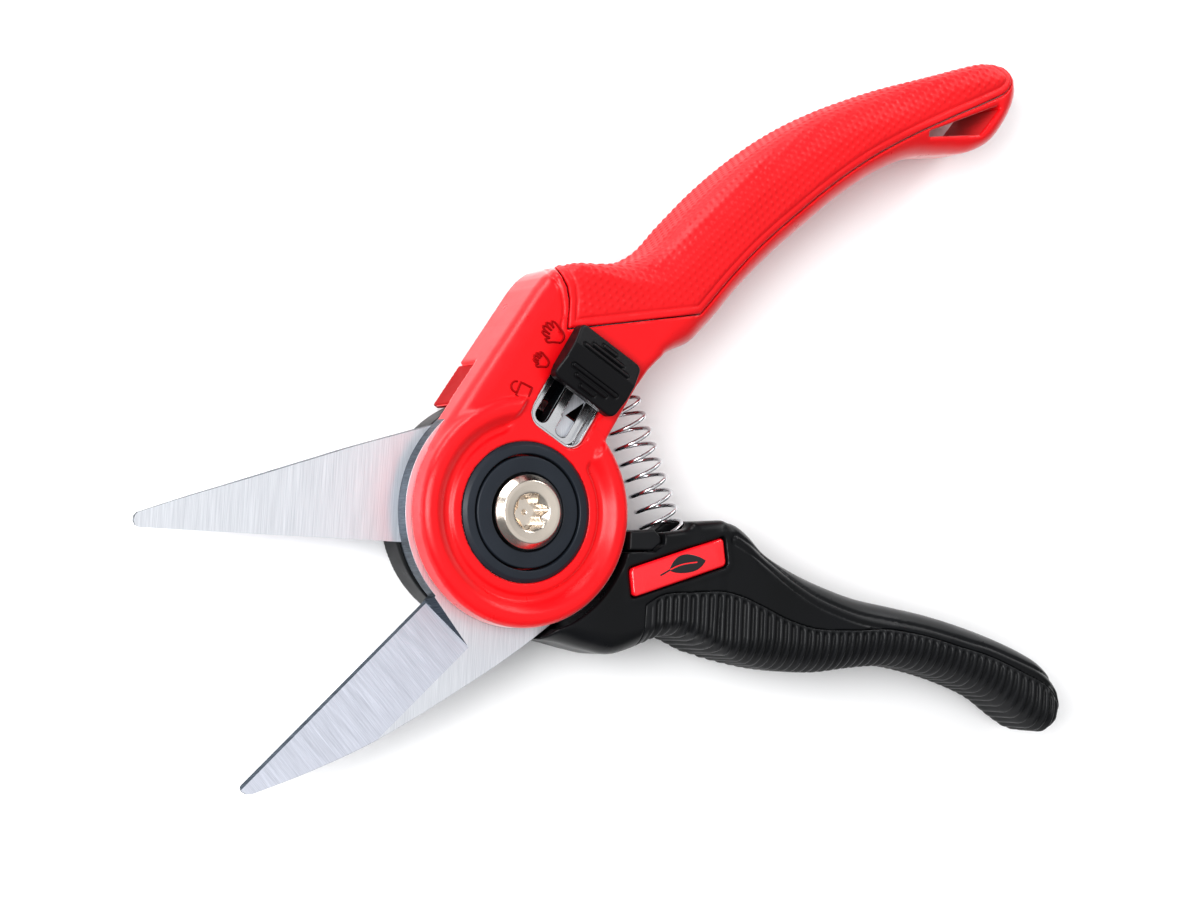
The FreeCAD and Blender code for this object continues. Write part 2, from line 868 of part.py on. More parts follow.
# ---------------------------------------------------------------- black half


def black_head_outline():
    radius = size("DiscRadius")
    return [
        Part.LineSegment(Vector(0, 0, 0), on_circle(radius, -93.0)),
        through(
            [
                on_circle(radius, -93.0),
                (3.0, -21.7),
                (9.0, -22.5),
                (15.0, -23.7),
                (19.5, -24.3),
                (24.0, -23.0),
                (29.0, -20.8),
                (34.0, -20.3),
                (40.0, -22.6),
            ]
        ),
        line((40.0, -22.6), (40.0, 0.0)),
        line((40.0, 0.0), (27.5, -2.2)),
        line((27.5, -2.2), (20.6, -3.2)),
        line((20.6, -3.2), (0.0, 0.0)),
    ]


def badge_outline(inset=0.0):
    """A long four-sided plate that leans, in its own frame with its middle at the origin."""
    half_length = 10.1 - inset
    half_height = 2.65 - inset
    lean = 0.45
    return [
        (-half_length - lean, -half_height),
        (half_length - lean, -half_height),
        (half_length + lean, half_height),
        (-half_length + lean, half_height),
    ]


BADGE_MIDDLE = Vector(30.9, -8.15, 0)
BADGE_FLOOR = 16.0


def badge_placement(height):
    middle = BADGE_MIDDLE + Vector(0, 0, height)
    return Placement(middle, Rotation(Z_AXIS, size("BadgeTurn")))


def open_stop_notch():
    """Room beside the black block for the front blade's back, when the shears are fully open."""
    corners = [(-12.0, -16.0), (4.0, -17.0), (7.2, -20.6), (-1.0, -26.5), (-12.0, -30.0)]
    return prism(polyline(corners), size("RearBladeHigh"), 30.0)


def make_black_half(blade, stop_pad):
    face = size("FaceLevel")
    disc_top = size("RearBladeLow")
    disc = column(size("BlackDiscRadius"), 0.0, disc_top)
    rear_rim = [edge for edge in disc.Edges if abs(edge.CenterOfMass.z) < 0.01]
    disc = disc.makeChamfer(0.3, rear_rim[:1])
    block = prism(black_head_outline(), 0.0, face)
    outer_edges = [
        edge
        for edge in block.Edges
        if edge.CenterOfMass.x > 24.0 and edge.CenterOfMass.y > -5.0 or edge.CenterOfMass.y < -21.0
    ]
    block = block.makeFillet(
        1.4, [edge for edge in outer_edges if abs(edge.CenterOfMass.z - face) < 0.01]
    )
    swept_by_red_half = column(size("CollarRadius"), disc_top, 30.0)
    whole = block.fuse([grip_loft(BLACK_STATIONS)])
    whole = whole.cut(swept_by_red_half).fuse(disc)
    badge_recess = prism(polyline(badge_outline()), BADGE_FLOOR, 30.0)
    badge_recess.Placement = badge_placement(0.0)
    bores = [
        column(size("CounterboreRadius"), -1.0, size("CounterboreDepth")),
        column(size("BoreRadius"), -1.0, disc_top + 1.0),
    ]
    whole = whole.cut(
        [
            *bores,
            badge_recess,
            spring_pocket("BlackTurn", -5.0, BLACK_POCKET_END),
            local_shape(blade, "BlackTurn"),
            local_shape(stop_pad, "BlackTurn"),
            open_stop_notch(),
            *tang_pin_shapes(BLACK_TANG_PINS),
        ]
    )
    core = grip_loft(BLACK_STATIONS[:-1], BLACK_SKIN)
    inner_block = prism(black_head_outline(), BLACK_SKIN, face - BLACK_SKIN)
    inner_block.translate(Vector(0, BLACK_SKIN, 0))
    skin = whole.common(prism(black_grip_zone(), -2.0, 22.0)).cut([core, inner_block])
    skin = largest_solid(skin)
    handle = largest_solid(whole.cut(skin))
    place = half_placement("BlackTurn")
    return coded("black_handle", handle, place), coded("black_grip", skin, place)


def make_badge():
    body = new_body("badge")
    sketch = new_sketch(body, "badge_outline")
    corners = [Vector(x, y, 0) for x, y in badge_outline(0.08)]
    for a, b in zip(corners, corners[1:] + corners[:1]):
        sketch.addGeometry(Part.LineSegment(a, b))
    plate = pad(body, sketch, "BadgeHeight")
    DOC.recompute()
    top_edges = [
        "Edge%d" % (number + 1)
        for number, edge in enumerate(plate.Shape.Edges)
        if abs(edge.CenterOfMass.z - size("BadgeHeight")) < 0.01
    ]
    rounding = body.newObject("PartDesign::Fillet", "badge_rounding")
    rounding.Base = (plate, top_edges)
    rounding.Radius = size("BadgeRound")
    rounding.setExpression("Radius", "Sizes.BadgeRound")
    body.Placement = half_placement("BlackTurn").multiply(badge_placement(BADGE_FLOOR))
    body.setExpression("Placement.Rotation.Angle", "Sizes.BlackTurn + Sizes.BadgeTurn")
    return body


def make_stop_pad():
    """Rubber pad beside the disc that meets the red handle when the shears are closed."""
    body = new_body("stop_pad")
    sketch = new_sketch(body, "stop_pad_side")
    corners = [(21.9, -3.1), (26.6, -2.35), (26.6, 1.75), (25.6, 1.65), (22.6, 0.6), (21.9, 0.1)]
    for curve in polyline(corners):
        sketch.addGeometry(curve)
    pad(body, sketch, "PadHeight")
    body.Placement = half_placement("BlackTurn", 5.0)
    body.setExpression("Placement.Rotation.Angle", "Sizes.BlackTurn")
    return body


# ---------------------------------------------------------------- lock


def round_uprights(body, feature, radius):
    """Round every upright edge of a body's feature."""
    DOC.recompute()
    uprights = [
        "Edge%d" % number
        for number, edge in enumerate(feature.Shape.Edges, start=1)
        if abs(edge.tangentAt(edge.FirstParameter).z) > 0.9
    ]
    rounding = body.newObject("PartDesign::Fillet", body.Label + "_corners")
    rounding.Base = (feature, uprights)
    rounding.Radius = radius
    return rounding


def place_in_slot(thing, along, height_cell=None):
    height = size(height_cell) if height_cell else 0.0
    shift = Placement(Vector(along, 0, 0), Rotation())
    whole = half_placement("RedTurn").multiply(slot_placement(height)).multiply(shift)
    thing.Placement = whole
    thing.setExpression("Placement.Rotation.Angle", "Sizes.RedTurn + Sizes.SlotTurn")


def make_lock_plate():
    """Steel plate on the slot's floor, with two long openings and three click dimples."""
    body = new_body("lock_plate")
    sketch = new_sketch(body, "lock_plate_outline")
    near, far = 0.1, size("SlotLength") - 0.1
    half = size("SlotHalfWidth") - 0.1
    for curve in polyline([(near, -half), (far, -half), (far, half), (near, half)]):
        sketch.addGeometry(curve)
    plate = pad(body, sketch, "PlateThickness")
    round_uprights(body, plate, SLOT_CORNER - 0.1)
    openings = new_sketch(body, "lock_plate_openings")
    start, end = PIN_TRACK
    for offset in (PIN_OFFSET, -PIN_OFFSET):
        for curve in rounded_slot((start, offset), (end, offset), PIN_TRACK_HALF_WIDTH):
            openings.addGeometry(curve)
    pocket(body, openings, size("PlateThickness"), "lock_plate_slots", reverse=True)
    place_in_slot(body, 0.0, "FrontBladeHigh")
    return body


def make_lock_button():
    """Black finger button: two sloping faces on either side of a flat band."""
    body = new_body("lock_button")
    half_length = size("ButtonLength") / 2
    half_width = size("ButtonWidth") / 2
    low, high, edge = size("ButtonLow"), size("ButtonHigh"), size("ButtonEdge")
    sketch = new_sketch(body, "button_side", "XZ_Plane")
    side = [
        (-half_length, low),
        (half_length, low),
        (half_length, edge),
        (1.3, high),
        (-1.3, high),
        (-half_length, edge),
    ]
    for curve in polyline(side):
        sketch.addGeometry(curve)
    block = body.newObject("PartDesign::Pad", "button_block")
    block.Profile = sketch
    block.Length = 2 * half_width
    block.setExpression("Length", "Sizes.ButtonWidth")
    block.Midplane = True
    rounding = round_uprights(body, block, size("ButtonCorner"))
    rounding.setExpression("Radius", "Sizes.ButtonCorner")
    place_in_slot(body, size("LockRest"))
    return body


SLIDER_NEAR = -2.0
SLIDER_FAR = 2.9
SLIDER_HALF_WIDTH = 5.0
SLIDER_CORNER = 2.0
LEAF_OFFSET = -2.6
LEAF_HALF_WIDTH = 1.3


def make_lock_slider():
    """The button's foot, which runs in the slot, with a groove for the click leaf."""
    near, far, half = SLIDER_NEAR, SLIDER_FAR, SLIDER_HALF_WIDTH
    low, high = size("SliderLow"), size("ButtonLow")
    body = new_body("lock_slider")
    sketch = new_sketch(body, "slider_outline")
    for curve in polyline([(near, -half), (far, -half), (far, half), (near, half)]):
        sketch.addGeometry(curve)
    block = body.newObject("PartDesign::Pad", "slider_block")
    block.Profile = sketch
    block.Length = high - low
    block.setExpression("Length", "Sizes.ButtonLow - Sizes.SliderLow")
    round_uprights(body, block, SLIDER_CORNER)
    groove = new_sketch(body, "leaf_groove")
    y_low = LEAF_OFFSET - LEAF_HALF_WIDTH - 0.1
    y_high = LEAF_OFFSET + LEAF_HALF_WIDTH + 0.1
    corners = [(near + 0.3, y_low), (far - 0.3, y_low), (far - 0.3, y_high), (near + 0.3, y_high)]
    for curve in polyline(corners):
        groove.addGeometry(curve)
    pocket(body, groove, 1.2, "leaf_groove_cut", reverse=True)
    hole = new_sketch(body, "pin_hole")
    hole.addGeometry(
        Part.Circle(Vector(PIN_AHEAD, PIN_OFFSET, 0), Z_AXIS, size("LockPinRadius"))
    )
    depth = size("LockPinLow") + size("LockPinLength") - low
    pocket(body, hole, depth, "pin_hole_cut", reverse=True)
    place_in_slot(body, size("LockRest"), "SliderLow")
    return body


def make_lock_pin():
    pin = primitive("Part::Cylinder", "lock_pin", Radius="LockPinRadius", Height="LockPinLength")
    pin.Label = "lock_pin"
    across = Placement(Vector(size("LockRest") + PIN_AHEAD, PIN_OFFSET, 0), Rotation())
    low = size("LockPinLow")
    pin.Placement = half_placement("RedTurn").multiply(slot_placement(low)).multiply(across)
    pin.setExpression("Placement.Base.z", "Sizes.LockPinLow")
    return pin


def make_lock_leaf():
    """Thin steel leaf under the button's foot; its bump clicks into the plate's openings."""
    thickness = 0.3
    top = size("SliderLow") + 1.15
    bump = size("SliderLow") + 0.05
    near, far = SLIDER_NEAR + 0.4, SLIDER_FAR - 0.4
    middle = (near + far) / 2
    foot = 1.4
    upper = [
        Part.LineSegment(Vector(near, 0, top), Vector(middle - foot, 0, top)),
        Part.Arc(
            Vector(middle - foot, 0, top),
            Vector(middle, 0, bump + thickness),
            Vector(middle + foot, 0, top),
        ),
        Part.LineSegment(Vector(middle + foot, 0, top), Vector(far, 0, top)),
        Part.LineSegment(Vector(far, 0, top), Vector(far, 0, top - thickness)),
        Part.LineSegment(
            Vector(far, 0, top - thickness), Vector(middle + foot, 0, top - thickness)
        ),
        Part.Arc(
            Vector(middle + foot, 0, top - thickness),
            Vector(middle, 0, bump),
            Vector(middle - foot, 0, top - thickness),
        ),
        Part.LineSegment(
            Vector(middle - foot, 0, top - thickness), Vector(near, 0, top - thickness)
        ),
        Part.LineSegment(Vector(near, 0, top - thickness), Vector(near, 0, top)),
    ]
    face = Part.Face(Part.Wire([edge.toShape() for edge in upper]))
    face.translate(Vector(0, LEAF_OFFSET - LEAF_HALF_WIDTH, 0))
    leaf = coded("lock_leaf", face.extrude(Vector(0, 2 * LEAF_HALF_WIDTH, 0)))
    place_in_slot(leaf, size("LockRest"))
    return leaf


# ---------------------------------------------------------------- return spring and its seats


def make_spring():
    """Round-wire helix about an axis parallel to Y, its first and last turns in the pockets."""
    length = size("SpringHigh") - size("SpringLow") - 2 * size("SpringWire")
    helix = Part.makeHelix(size("SpringPitch"), length, size("SpringRadius"))
    start = Vector(size("SpringRadius"), 0, 0)
    wire_end = Part.Wire(Part.makeCircle(size("SpringWire"), start, Vector(0, 1, 0)))
    coil = Part.Wire(helix.Edges).makePipeShell([wire_end], True, True)
    base = Vector(size("SpringAxisX"), size("SpringLow") + size("SpringWire"), size("SpringAxisZ"))
    return coded("return_spring", coil, Placement(base, Rotation(Vector(1, 0, 0), -90.0)))


def make_spring_seat(label, bottom_y, direction):
    """A flanged boss in the bottom of a pocket, inside the spring's last turns."""
    flange = primitive(
        "Part::Cylinder", label + "_flange", Radius="SeatFlange", Height="SeatFlangeThickness"
    )
    boss = primitive("Part::Cylinder", label + "_boss", Radius="SeatBoss", Height="SeatBossLength")
    boss.Placement = Placement(Vector(0, 0, size("SeatFlangeThickness")), Rotation())
    boss.setExpression("Placement.Base.z", "Sizes.SeatFlangeThickness")
    seat = joined(label, [flange, boss])
    base = Vector(size("SpringAxisX"), bottom_y, size("SpringAxisZ"))
    seat.Placement = Placement(base, Rotation(Vector(1, 0, 0), -90.0 * direction))
    return seat


def make_tang_pins(label, places, turn_cell):
    low, high = TANG_PIN_SPAN
    pins = []
    for number, (x, y) in enumerate(places, start=1):
        pin = primitive("Part::Cylinder", "%s_%d" % (label, number), Radius="TangPinRadius")
        pin.Height = high - low
        pin.Placement = Placement(Vector(x, y, low), Rotation())
        pins.append(pin)
    group = joined(label, pins)
    turn_with_half(group, turn_cell)
    return group


# ---------------------------------------------------------------- the whole assembly


def build():
    keep(make_pivot_bolt())
    keep(make_pivot_nut())
    keep(make_ring("pivot_bush", "BushInner", "BushOuter", "RearWasherTop", "SeatLevel"))
    keep(make_ring("rear_washer", "BushInner", "RearWasherOuter", "NutHeight", "RearWasherTop"))
    keep(
        make_ring(
            "blade_washer", "BoreRadius", "BladeWasherOuter", "RearBladeHigh", "FrontBladeLow"
        )
    )
    keep(make_front_ring())
    keep(make_front_washer())
    front_blade = keep(make_front_blade())
    rear_blade = keep(make_rear_blade())
    stop_pad = keep(make_stop_pad())
    DOC.recompute()
    for thing in make_red_half(front_blade):
        keep(thing)
    for thing in make_black_half(rear_blade, stop_pad):
        keep(thing)
    keep(make_badge())
    keep(make_lock_plate())
    keep(make_lock_button())
    keep(make_lock_slider())
    keep(make_lock_pin())
    keep(make_lock_leaf())
    keep(make_spring())
    keep(make_spring_seat("red_spring_seat", RED_POCKET_END, -1))
    keep(make_spring_seat("black_spring_seat", BLACK_POCKET_END, 1))
    keep(make_tang_pins("red_tang_pins", RED_TANG_PINS, "RedTurn"))
    keep(make_tang_pins("black_tang_pins", BLACK_TANG_PINS, "BlackTurn"))
    DOC.recompute()


def check_and_write():
    for thing in DOC.Objects:
        if "Invalid" in thing.State or "Error" in thing.State:
            raise RuntimeError("%s is %s" % (thing.Label, thing.State))
    os.makedirs("parts", exist_ok=True)
    for thing in PARTS:
        shape = thing.Shape
        if shape.isNull() or not shape.isValid():
            raise RuntimeError("%s has no sound shape" % thing.Label)
    for thing in PARTS:
        shape = thing.Shape
        shape.exportStep("parts/%s.step" % thing.Label)
        box = shape.BoundBox
        print(
            "%-18s solids %d  volume %9.1f  x %7.1f %7.1f  y %7.1f %7.1f  z %6.2f %6.2f"
            % (
                thing.Label,
                len(shape.Solids),
                shape.Volume,
                box.XMin,
                box.XMax,
                box.YMin,
                box.YMax,
                box.ZMin,
                box.ZMax,
            )
        )


build()
check_and_write()
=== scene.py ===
import json
import math

import bmesh
import bpy
import numpy as np
from mathutils import Matrix, Vector


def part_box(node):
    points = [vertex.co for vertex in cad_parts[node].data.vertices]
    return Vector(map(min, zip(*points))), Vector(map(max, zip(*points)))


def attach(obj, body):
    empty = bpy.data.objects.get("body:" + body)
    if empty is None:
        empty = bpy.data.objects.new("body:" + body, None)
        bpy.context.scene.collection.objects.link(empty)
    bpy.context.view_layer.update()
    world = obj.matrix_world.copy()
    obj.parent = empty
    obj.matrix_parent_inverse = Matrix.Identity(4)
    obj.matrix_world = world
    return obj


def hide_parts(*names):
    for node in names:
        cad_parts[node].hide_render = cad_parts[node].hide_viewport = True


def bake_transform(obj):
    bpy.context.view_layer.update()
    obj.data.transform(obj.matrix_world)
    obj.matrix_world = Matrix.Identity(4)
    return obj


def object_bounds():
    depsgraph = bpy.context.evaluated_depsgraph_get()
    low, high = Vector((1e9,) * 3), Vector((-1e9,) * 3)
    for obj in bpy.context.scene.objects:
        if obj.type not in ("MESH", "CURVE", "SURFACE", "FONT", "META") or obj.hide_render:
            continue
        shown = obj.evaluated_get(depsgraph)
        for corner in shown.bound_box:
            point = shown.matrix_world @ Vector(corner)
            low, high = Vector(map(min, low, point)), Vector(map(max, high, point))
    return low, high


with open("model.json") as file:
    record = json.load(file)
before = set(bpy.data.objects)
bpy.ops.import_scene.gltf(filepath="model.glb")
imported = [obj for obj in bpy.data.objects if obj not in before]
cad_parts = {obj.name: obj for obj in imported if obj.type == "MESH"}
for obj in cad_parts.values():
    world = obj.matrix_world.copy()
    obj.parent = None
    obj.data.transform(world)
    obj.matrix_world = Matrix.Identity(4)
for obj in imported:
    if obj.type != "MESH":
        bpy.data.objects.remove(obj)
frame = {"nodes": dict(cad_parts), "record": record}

CAD_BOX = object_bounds()

# Lengths are millimetres until a piece is made; make_piece turns them into metres.
# Each half is modelled in its own frame, with its cutting edge along -X, and is turned about
# the pivot to its place at rest. The edges are parallel when both turns are zero.
RED_TURN = 21.0
BLACK_TURN = -24.0
MM = 0.001
SCENE = bpy.context.scene


# ---------------------------------------------------------------- levels read from the frame


def levels(node):
    low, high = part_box(node)
    return low.z / MM, high.z / MM


def middle(node):
    low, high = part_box(node)
    return (low.x + high.x) / 2 / MM, (low.y + high.y) / 2 / MM


REAR_BLADE_LOW, REAR_BLADE_HIGH = levels("rear_blade")
FRONT_BLADE_LOW, FRONT_BLADE_HIGH = levels("front_blade")
PLATE_LOW, PLATE_HIGH = levels("lock_plate")
RING_LOW, RING_CREST = levels("front_ring")
WASHER_LOW, WASHER_FACE = levels("front_washer")
BOLT_TOP = levels("pivot_bolt")[1]
BADGE_LOW, BADGE_TOP = levels("badge")
PAD_LOW, PAD_TOP = levels("stop_pad")
BUTTON_LOW, BUTTON_TOP = levels("lock_button")
FACE = 17.0
CELL_MARGIN = 0.04  # keeps the skin's points of neighbouring cells apart, in parts of a cell
FRONT_HEAD_RADIUS = 21.3
HEAD_RADIUS = 20.0
BROKEN_EDGE = 0.09
CUTTER_HEIGHT = 12.0

# ---------------------------------------------------------------- sampled fields and their skins


def turned(x, y, degrees):
    c, s = math.cos(math.radians(degrees)), math.sin(math.radians(degrees))
    return c * x - s * y, s * x + c * y


class Block:
    """Sample points of a block of space, as arrays that broadcast against each other."""

    def __init__(self, xs, ys, zs):
        self.axes = [np.asarray(a, np.float32) for a in (xs, ys, zs)]
        self.x = self.axes[0][:, None, None]
        self.y = self.axes[1][None, :, None]
        self.z = self.axes[2][None, None, :]


def steps(*runs):
    """Sample places along an axis: each run is a start, an end and a spacing."""
    parts = [np.linspace(a, b, max(2, int(round((b - a) / d)) + 1))[:-1] for a, b, d in runs]
    return np.concatenate(parts + [[runs[-1][1]]])


def outline(x, y, points):
    """Distance to a closed outline, negative inside it."""
    corners = np.asarray(points, np.float32)
    nearest = np.full(np.broadcast(x, y).shape, 1e9, np.float32)
    inside = np.zeros(nearest.shape, bool)
    for (ax, ay), (bx, by) in zip(corners, np.roll(corners, -1, axis=0)):
        ex, ey = bx - ax, by - ay
        t = np.clip(((x - ax) * ex + (y - ay) * ey) / max(ex * ex + ey * ey, 1e-9), 0, 1)
        nearest = np.minimum(nearest, (x - ax - t * ex) ** 2 + (y - ay - t * ey) ** 2)
        if ay != by:
            crossed = (ay > y) != (by > y)
            inside ^= crossed & (x < (bx - ax) * (y - ay) / (by - ay) + ax)
    return np.where(inside, -1, 1) * np.sqrt(nearest)


def away_from(x, y, points):
    """Distance to an open line of points."""
    nearest = np.full(np.broadcast(x, y).shape, 1e9, np.float32)
    for (ax, ay), (bx, by) in zip(points, points[1:]):
        ex, ey = bx - ax, by - ay
        t = np.clip(((x - ax) * ex + (y - ay) * ey) / (ex * ex + ey * ey), 0, 1)
        nearest = np.minimum(nearest, (x - ax - t * ex) ** 2 + (y - ay - t * ey) ** 2)
    return np.sqrt(nearest)


def box2(a, a_low, a_high, b, b_low, b_high, corner=0.0):
    """Distance to a rectangle with rounded corners."""
    p = np.abs(a - (a_low + a_high) / 2) - (a_high - a_low) / 2 + corner
    q = np.abs(b - (b_low + b_high) / 2) - (b_high - b_low) / 2 + corner
    return np.hypot(np.maximum(p, 0), np.maximum(q, 0)) + np.minimum(np.maximum(p, q), 0) - corner


def both(a, b, radius):
    """The part common to two fields, its edge rounded to a radius."""
    p, q = a + radius, b + radius
    return np.hypot(np.maximum(p, 0), np.maximum(q, 0)) + np.minimum(np.maximum(p, q), 0) - radius


def slab(z, low, high):
    return np.abs(z - (low + high) / 2) - (high - low) / 2


def extrude(flat, z, low, high, radius):
    return both(flat, slab(z, low, high), radius)


def melt(a, b, reach):
    """Two fields joined, with a fillet of about that reach."""
    h = np.clip(0.5 + 0.5 * (b - a) / reach, 0, 1)
    return b + (a - b) * h - reach * h * (1 - h)


def carve(a, b, reach=0.0):
    """Field a with b taken away."""
    if reach:
        return -melt(-a, b, reach)
    return np.maximum(a, -b)


def ease(t):
    t = np.clip(t, 0, 1)
    return t * t * (3 - 2 * t)


def through(points, spacing=1.0):
    """Points along a smooth line through the given ones."""
    p = np.asarray(points, float)
    chord = np.concatenate([[0], np.cumsum(np.linalg.norm(np.diff(p, axis=0), axis=1))])
    slope = np.gradient(p, chord, axis=0)
    at = np.linspace(0, chord[-1], max(2, int(chord[-1] / spacing)) + 1)
    i = np.clip(np.searchsorted(chord, at, side="right") - 1, 0, len(p) - 2)
    h = (chord[i + 1] - chord[i])[:, None]
    t = ((at - chord[i]) / h[:, 0])[:, None]
    return (
        (2 * t**3 - 3 * t**2 + 1) * p[i]
        + (t**3 - 2 * t**2 + t) * h * slope[i]
        + (-2 * t**3 + 3 * t**2) * p[i + 1]
        + (t**3 - t**2) * h * slope[i + 1]
    )


def along(x, places, values):
    """A smooth function of x through the given values."""
    line = through(list(zip(places, values)), 0.5)
    return np.interp(x, line[:, 0], line[:, 1]).astype(np.float32)


def revolve(block, profile):
    """Distance to a turned solid about Z, from its half section of (radius, z) points."""
    radius = np.hypot(block.x, block.y)[:, :, 0]
    table = np.arange(0.0, float(radius.max()) + 0.2, 0.05, dtype=np.float32)
    section = outline(table[:, None], block.axes[2][None, :], profile)
    field = np.empty(radius.shape + (len(block.axes[2]),), np.float32)
    for k in range(field.shape[2]):
        field[:, :, k] = np.interp(radius, table, section[:, k])
    return field


def skin(field, block):
    """Points and quads of the surface where a field changes sign."""
    inside = field < 0
    span = tuple(n - 1 for n in field.shape)
    corners = [(a, b, c) for a in (0, 1) for b in (0, 1) for c in (0, 1)]
    count = np.zeros(span, np.int8)
    for a, b, c in corners:
        count += inside[a : a + span[0], b : b + span[1], c : c + span[2]]
    cells = np.argwhere((count > 0) & (count < 8))
    number = np.full(span, -1, np.int32)
    number[tuple(cells.T)] = np.arange(len(cells))
    value = {}
    place = {}
    for corner in corners:
        at = cells + corner
        value[corner] = field[tuple(at.T)]
        place[corner] = np.stack([block.axes[n][at[:, n]] for n in range(3)], 1)
    total = np.zeros((len(cells), 3))
    hits = np.zeros(len(cells))
    for near in corners:
        for axis in range(3):
            if near[axis]:
                continue
            far = tuple(1 if n == axis else near[n] for n in range(3))
            crossed = (value[near] < 0) != (value[far] < 0)
            t = value[near][crossed] / (value[near][crossed] - value[far][crossed])
            t = np.clip(t, CELL_MARGIN, 1 - CELL_MARGIN)
            start = place[near][crossed]
            total[crossed] += start + t[:, None] * (place[far][crossed] - start)
            hits[crossed] += 1
    points = total / hits[:, None]
    quads = []
    for axis in range(3):
        order = (axis, (axis + 1) % 3, (axis + 2) % 3)
        filled = np.transpose(inside, order)
        names = np.transpose(number, order)
        edges = np.argwhere(filled[:-1, 1:-1, 1:-1] != filled[1:, 1:-1, 1:-1])
        i, j, k = edges[:, 0], edges[:, 1] + 1, edges[:, 2] + 1
        quad = np.stack(
            [names[i, j - 1, k - 1], names[i, j, k - 1], names[i, j, k], names[i, j - 1, k]], 1
        )
        outward = filled[i, j, k]
        quads.append(np.where(outward[:, None], quad, quad[:, ::-1]))
    return points, np.concatenate(quads)


def point_normals(points, quads):
    corners = [points[quads[:, n]] for n in range(4)]
    across = np.cross(corners[2] - corners[0], corners[3] - corners[1])
    normals = np.zeros_like(points)
    for axis in range(3):
        for corner in range(4):
            normals[:, axis] += np.bincount(quads[:, corner], across[:, axis], len(points))
    return normals / np.maximum(np.linalg.norm(normals, axis=1, keepdims=True), 1e-12)


# ---------------------------------------------------------------- materials


def nodes_of(name):
    material = bpy.data.materials.new(name)
    material.use_nodes = True
    tree = material.node_tree
    return material, tree, tree.nodes["Principled BSDF"]


def noise(tree, scale, detail=3.0, stretch=None, angle=0.0, distortion=0.0):
    """Noise in the piece's own space. Stretch makes streaks: its small number is along them."""
    place = tree.nodes.new("ShaderNodeTexCoord")
    mapping = tree.nodes.new("ShaderNodeMapping")
    mapping.vector_type = "TEXTURE"
    mapping.inputs["Rotation"].default_value = (0.0, 0.0, math.radians(angle))
    if stretch:
        mapping.inputs["Scale"].default_value = stretch
    texture = tree.nodes.new("ShaderNodeTexNoise")
    texture.inputs["Scale"].default_value = scale
    texture.inputs["Detail"].default_value = detail
    texture.inputs["Distortion"].default_value = distortion
    tree.links.new(place.outputs["Object"], mapping.inputs["Vector"])
    tree.links.new(mapping.outputs["Vector"], texture.inputs["Vector"])
    return texture.outputs["Fac"]


def ramp(tree, factor, low, high, start=0.3, end=0.7):
    """A colour or grey between two, by a factor."""
    node = tree.nodes.new("ShaderNodeValToRGB")
    for element, position, colour in zip(node.color_ramp.elements, (start, end), (low, high)):
        element.position = position
        red_green_blue = colour if isinstance(colour, tuple) else (colour, colour, colour)
        element.color = (*red_green_blue, 1.0)
    tree.links.new(factor, node.inputs["Fac"])
    return node.outputs["Color"]


def bump(tree, shader, height, strength, depth):
    node = tree.nodes.new("ShaderNodeBump")
    node.inputs["Strength"].default_value = strength
    node.inputs["Distance"].default_value = depth * MM
    tree.links.new(height, node.inputs["Height"])
    tree.links.new(node.outputs["Normal"], shader.inputs["Normal"])
    return node


def moulded(
    name, colour, shade, rough, grain, grain_depth, specular=0.5, coat=0.0, coat_rough=0.1,
    sheen=0.0,
):
    """Moulded plastic or rubber: a fine grain, faint flow marks and handling gloss."""
    material, tree, shader = nodes_of(name)
    tone = ramp(tree, noise(tree, 90.0, 4.0), shade, colour)
    tree.links.new(tone, shader.inputs["Base Color"])
    gloss = ramp(tree, noise(tree, 260.0, 5.0, distortion=0.4), rough[0], rough[1])
    tree.links.new(gloss, shader.inputs["Roughness"])
    shader.inputs["Specular IOR Level"].default_value = specular
    shader.inputs["Coat Weight"].default_value = coat
    shader.inputs["Coat Roughness"].default_value = coat_rough
    shader.inputs["Sheen Weight"].default_value = sheen
    shader.inputs["Sheen Roughness"].default_value = 0.3
    bump(tree, shader, noise(tree, grain, 2.0), 0.5, grain_depth)
    return material


def brushed(name, dark, light, rough, angle, fine=9000.0, depth=0.004, metal=1.0):
    """Ground steel: fine scratches one way over a faint cloud of shade."""
    material, tree, shader = nodes_of(name)
    shader.inputs["Metallic"].default_value = metal
    streaks = noise(tree, 1.0, 4.0, (1 / 120.0, 1 / fine, 1 / 400.0), angle)
    tree.links.new(ramp(tree, streaks, dark, light, 0.32, 0.68), shader.inputs["Base Color"])
    coarse = noise(tree, 1.0, 3.0, (1 / 60.0, 1 / (fine / 4), 1 / 400.0), angle)
    tree.links.new(ramp(tree, coarse, rough[0], rough[1]), shader.inputs["Roughness"])
    bump(tree, shader, streaks, 0.6, depth)
    return material


def plated(name, dark, light, rough):
    """Plated or polished metal with faint smudges and pin marks."""
    material, tree, shader = nodes_of(name)
    shader.inputs["Metallic"].default_value = 1.0
    tree.links.new(ramp(tree, noise(tree, 140.0, 4.0), dark, light), shader.inputs["Base Color"])
    smudges = ramp(tree, noise(tree, 420.0, 4.0), rough[0], rough[1])
    tree.links.new(smudges, shader.inputs["Roughness"])
    bump(tree, shader, noise(tree, 2500.0, 2.0), 0.35, 0.004)
    return material


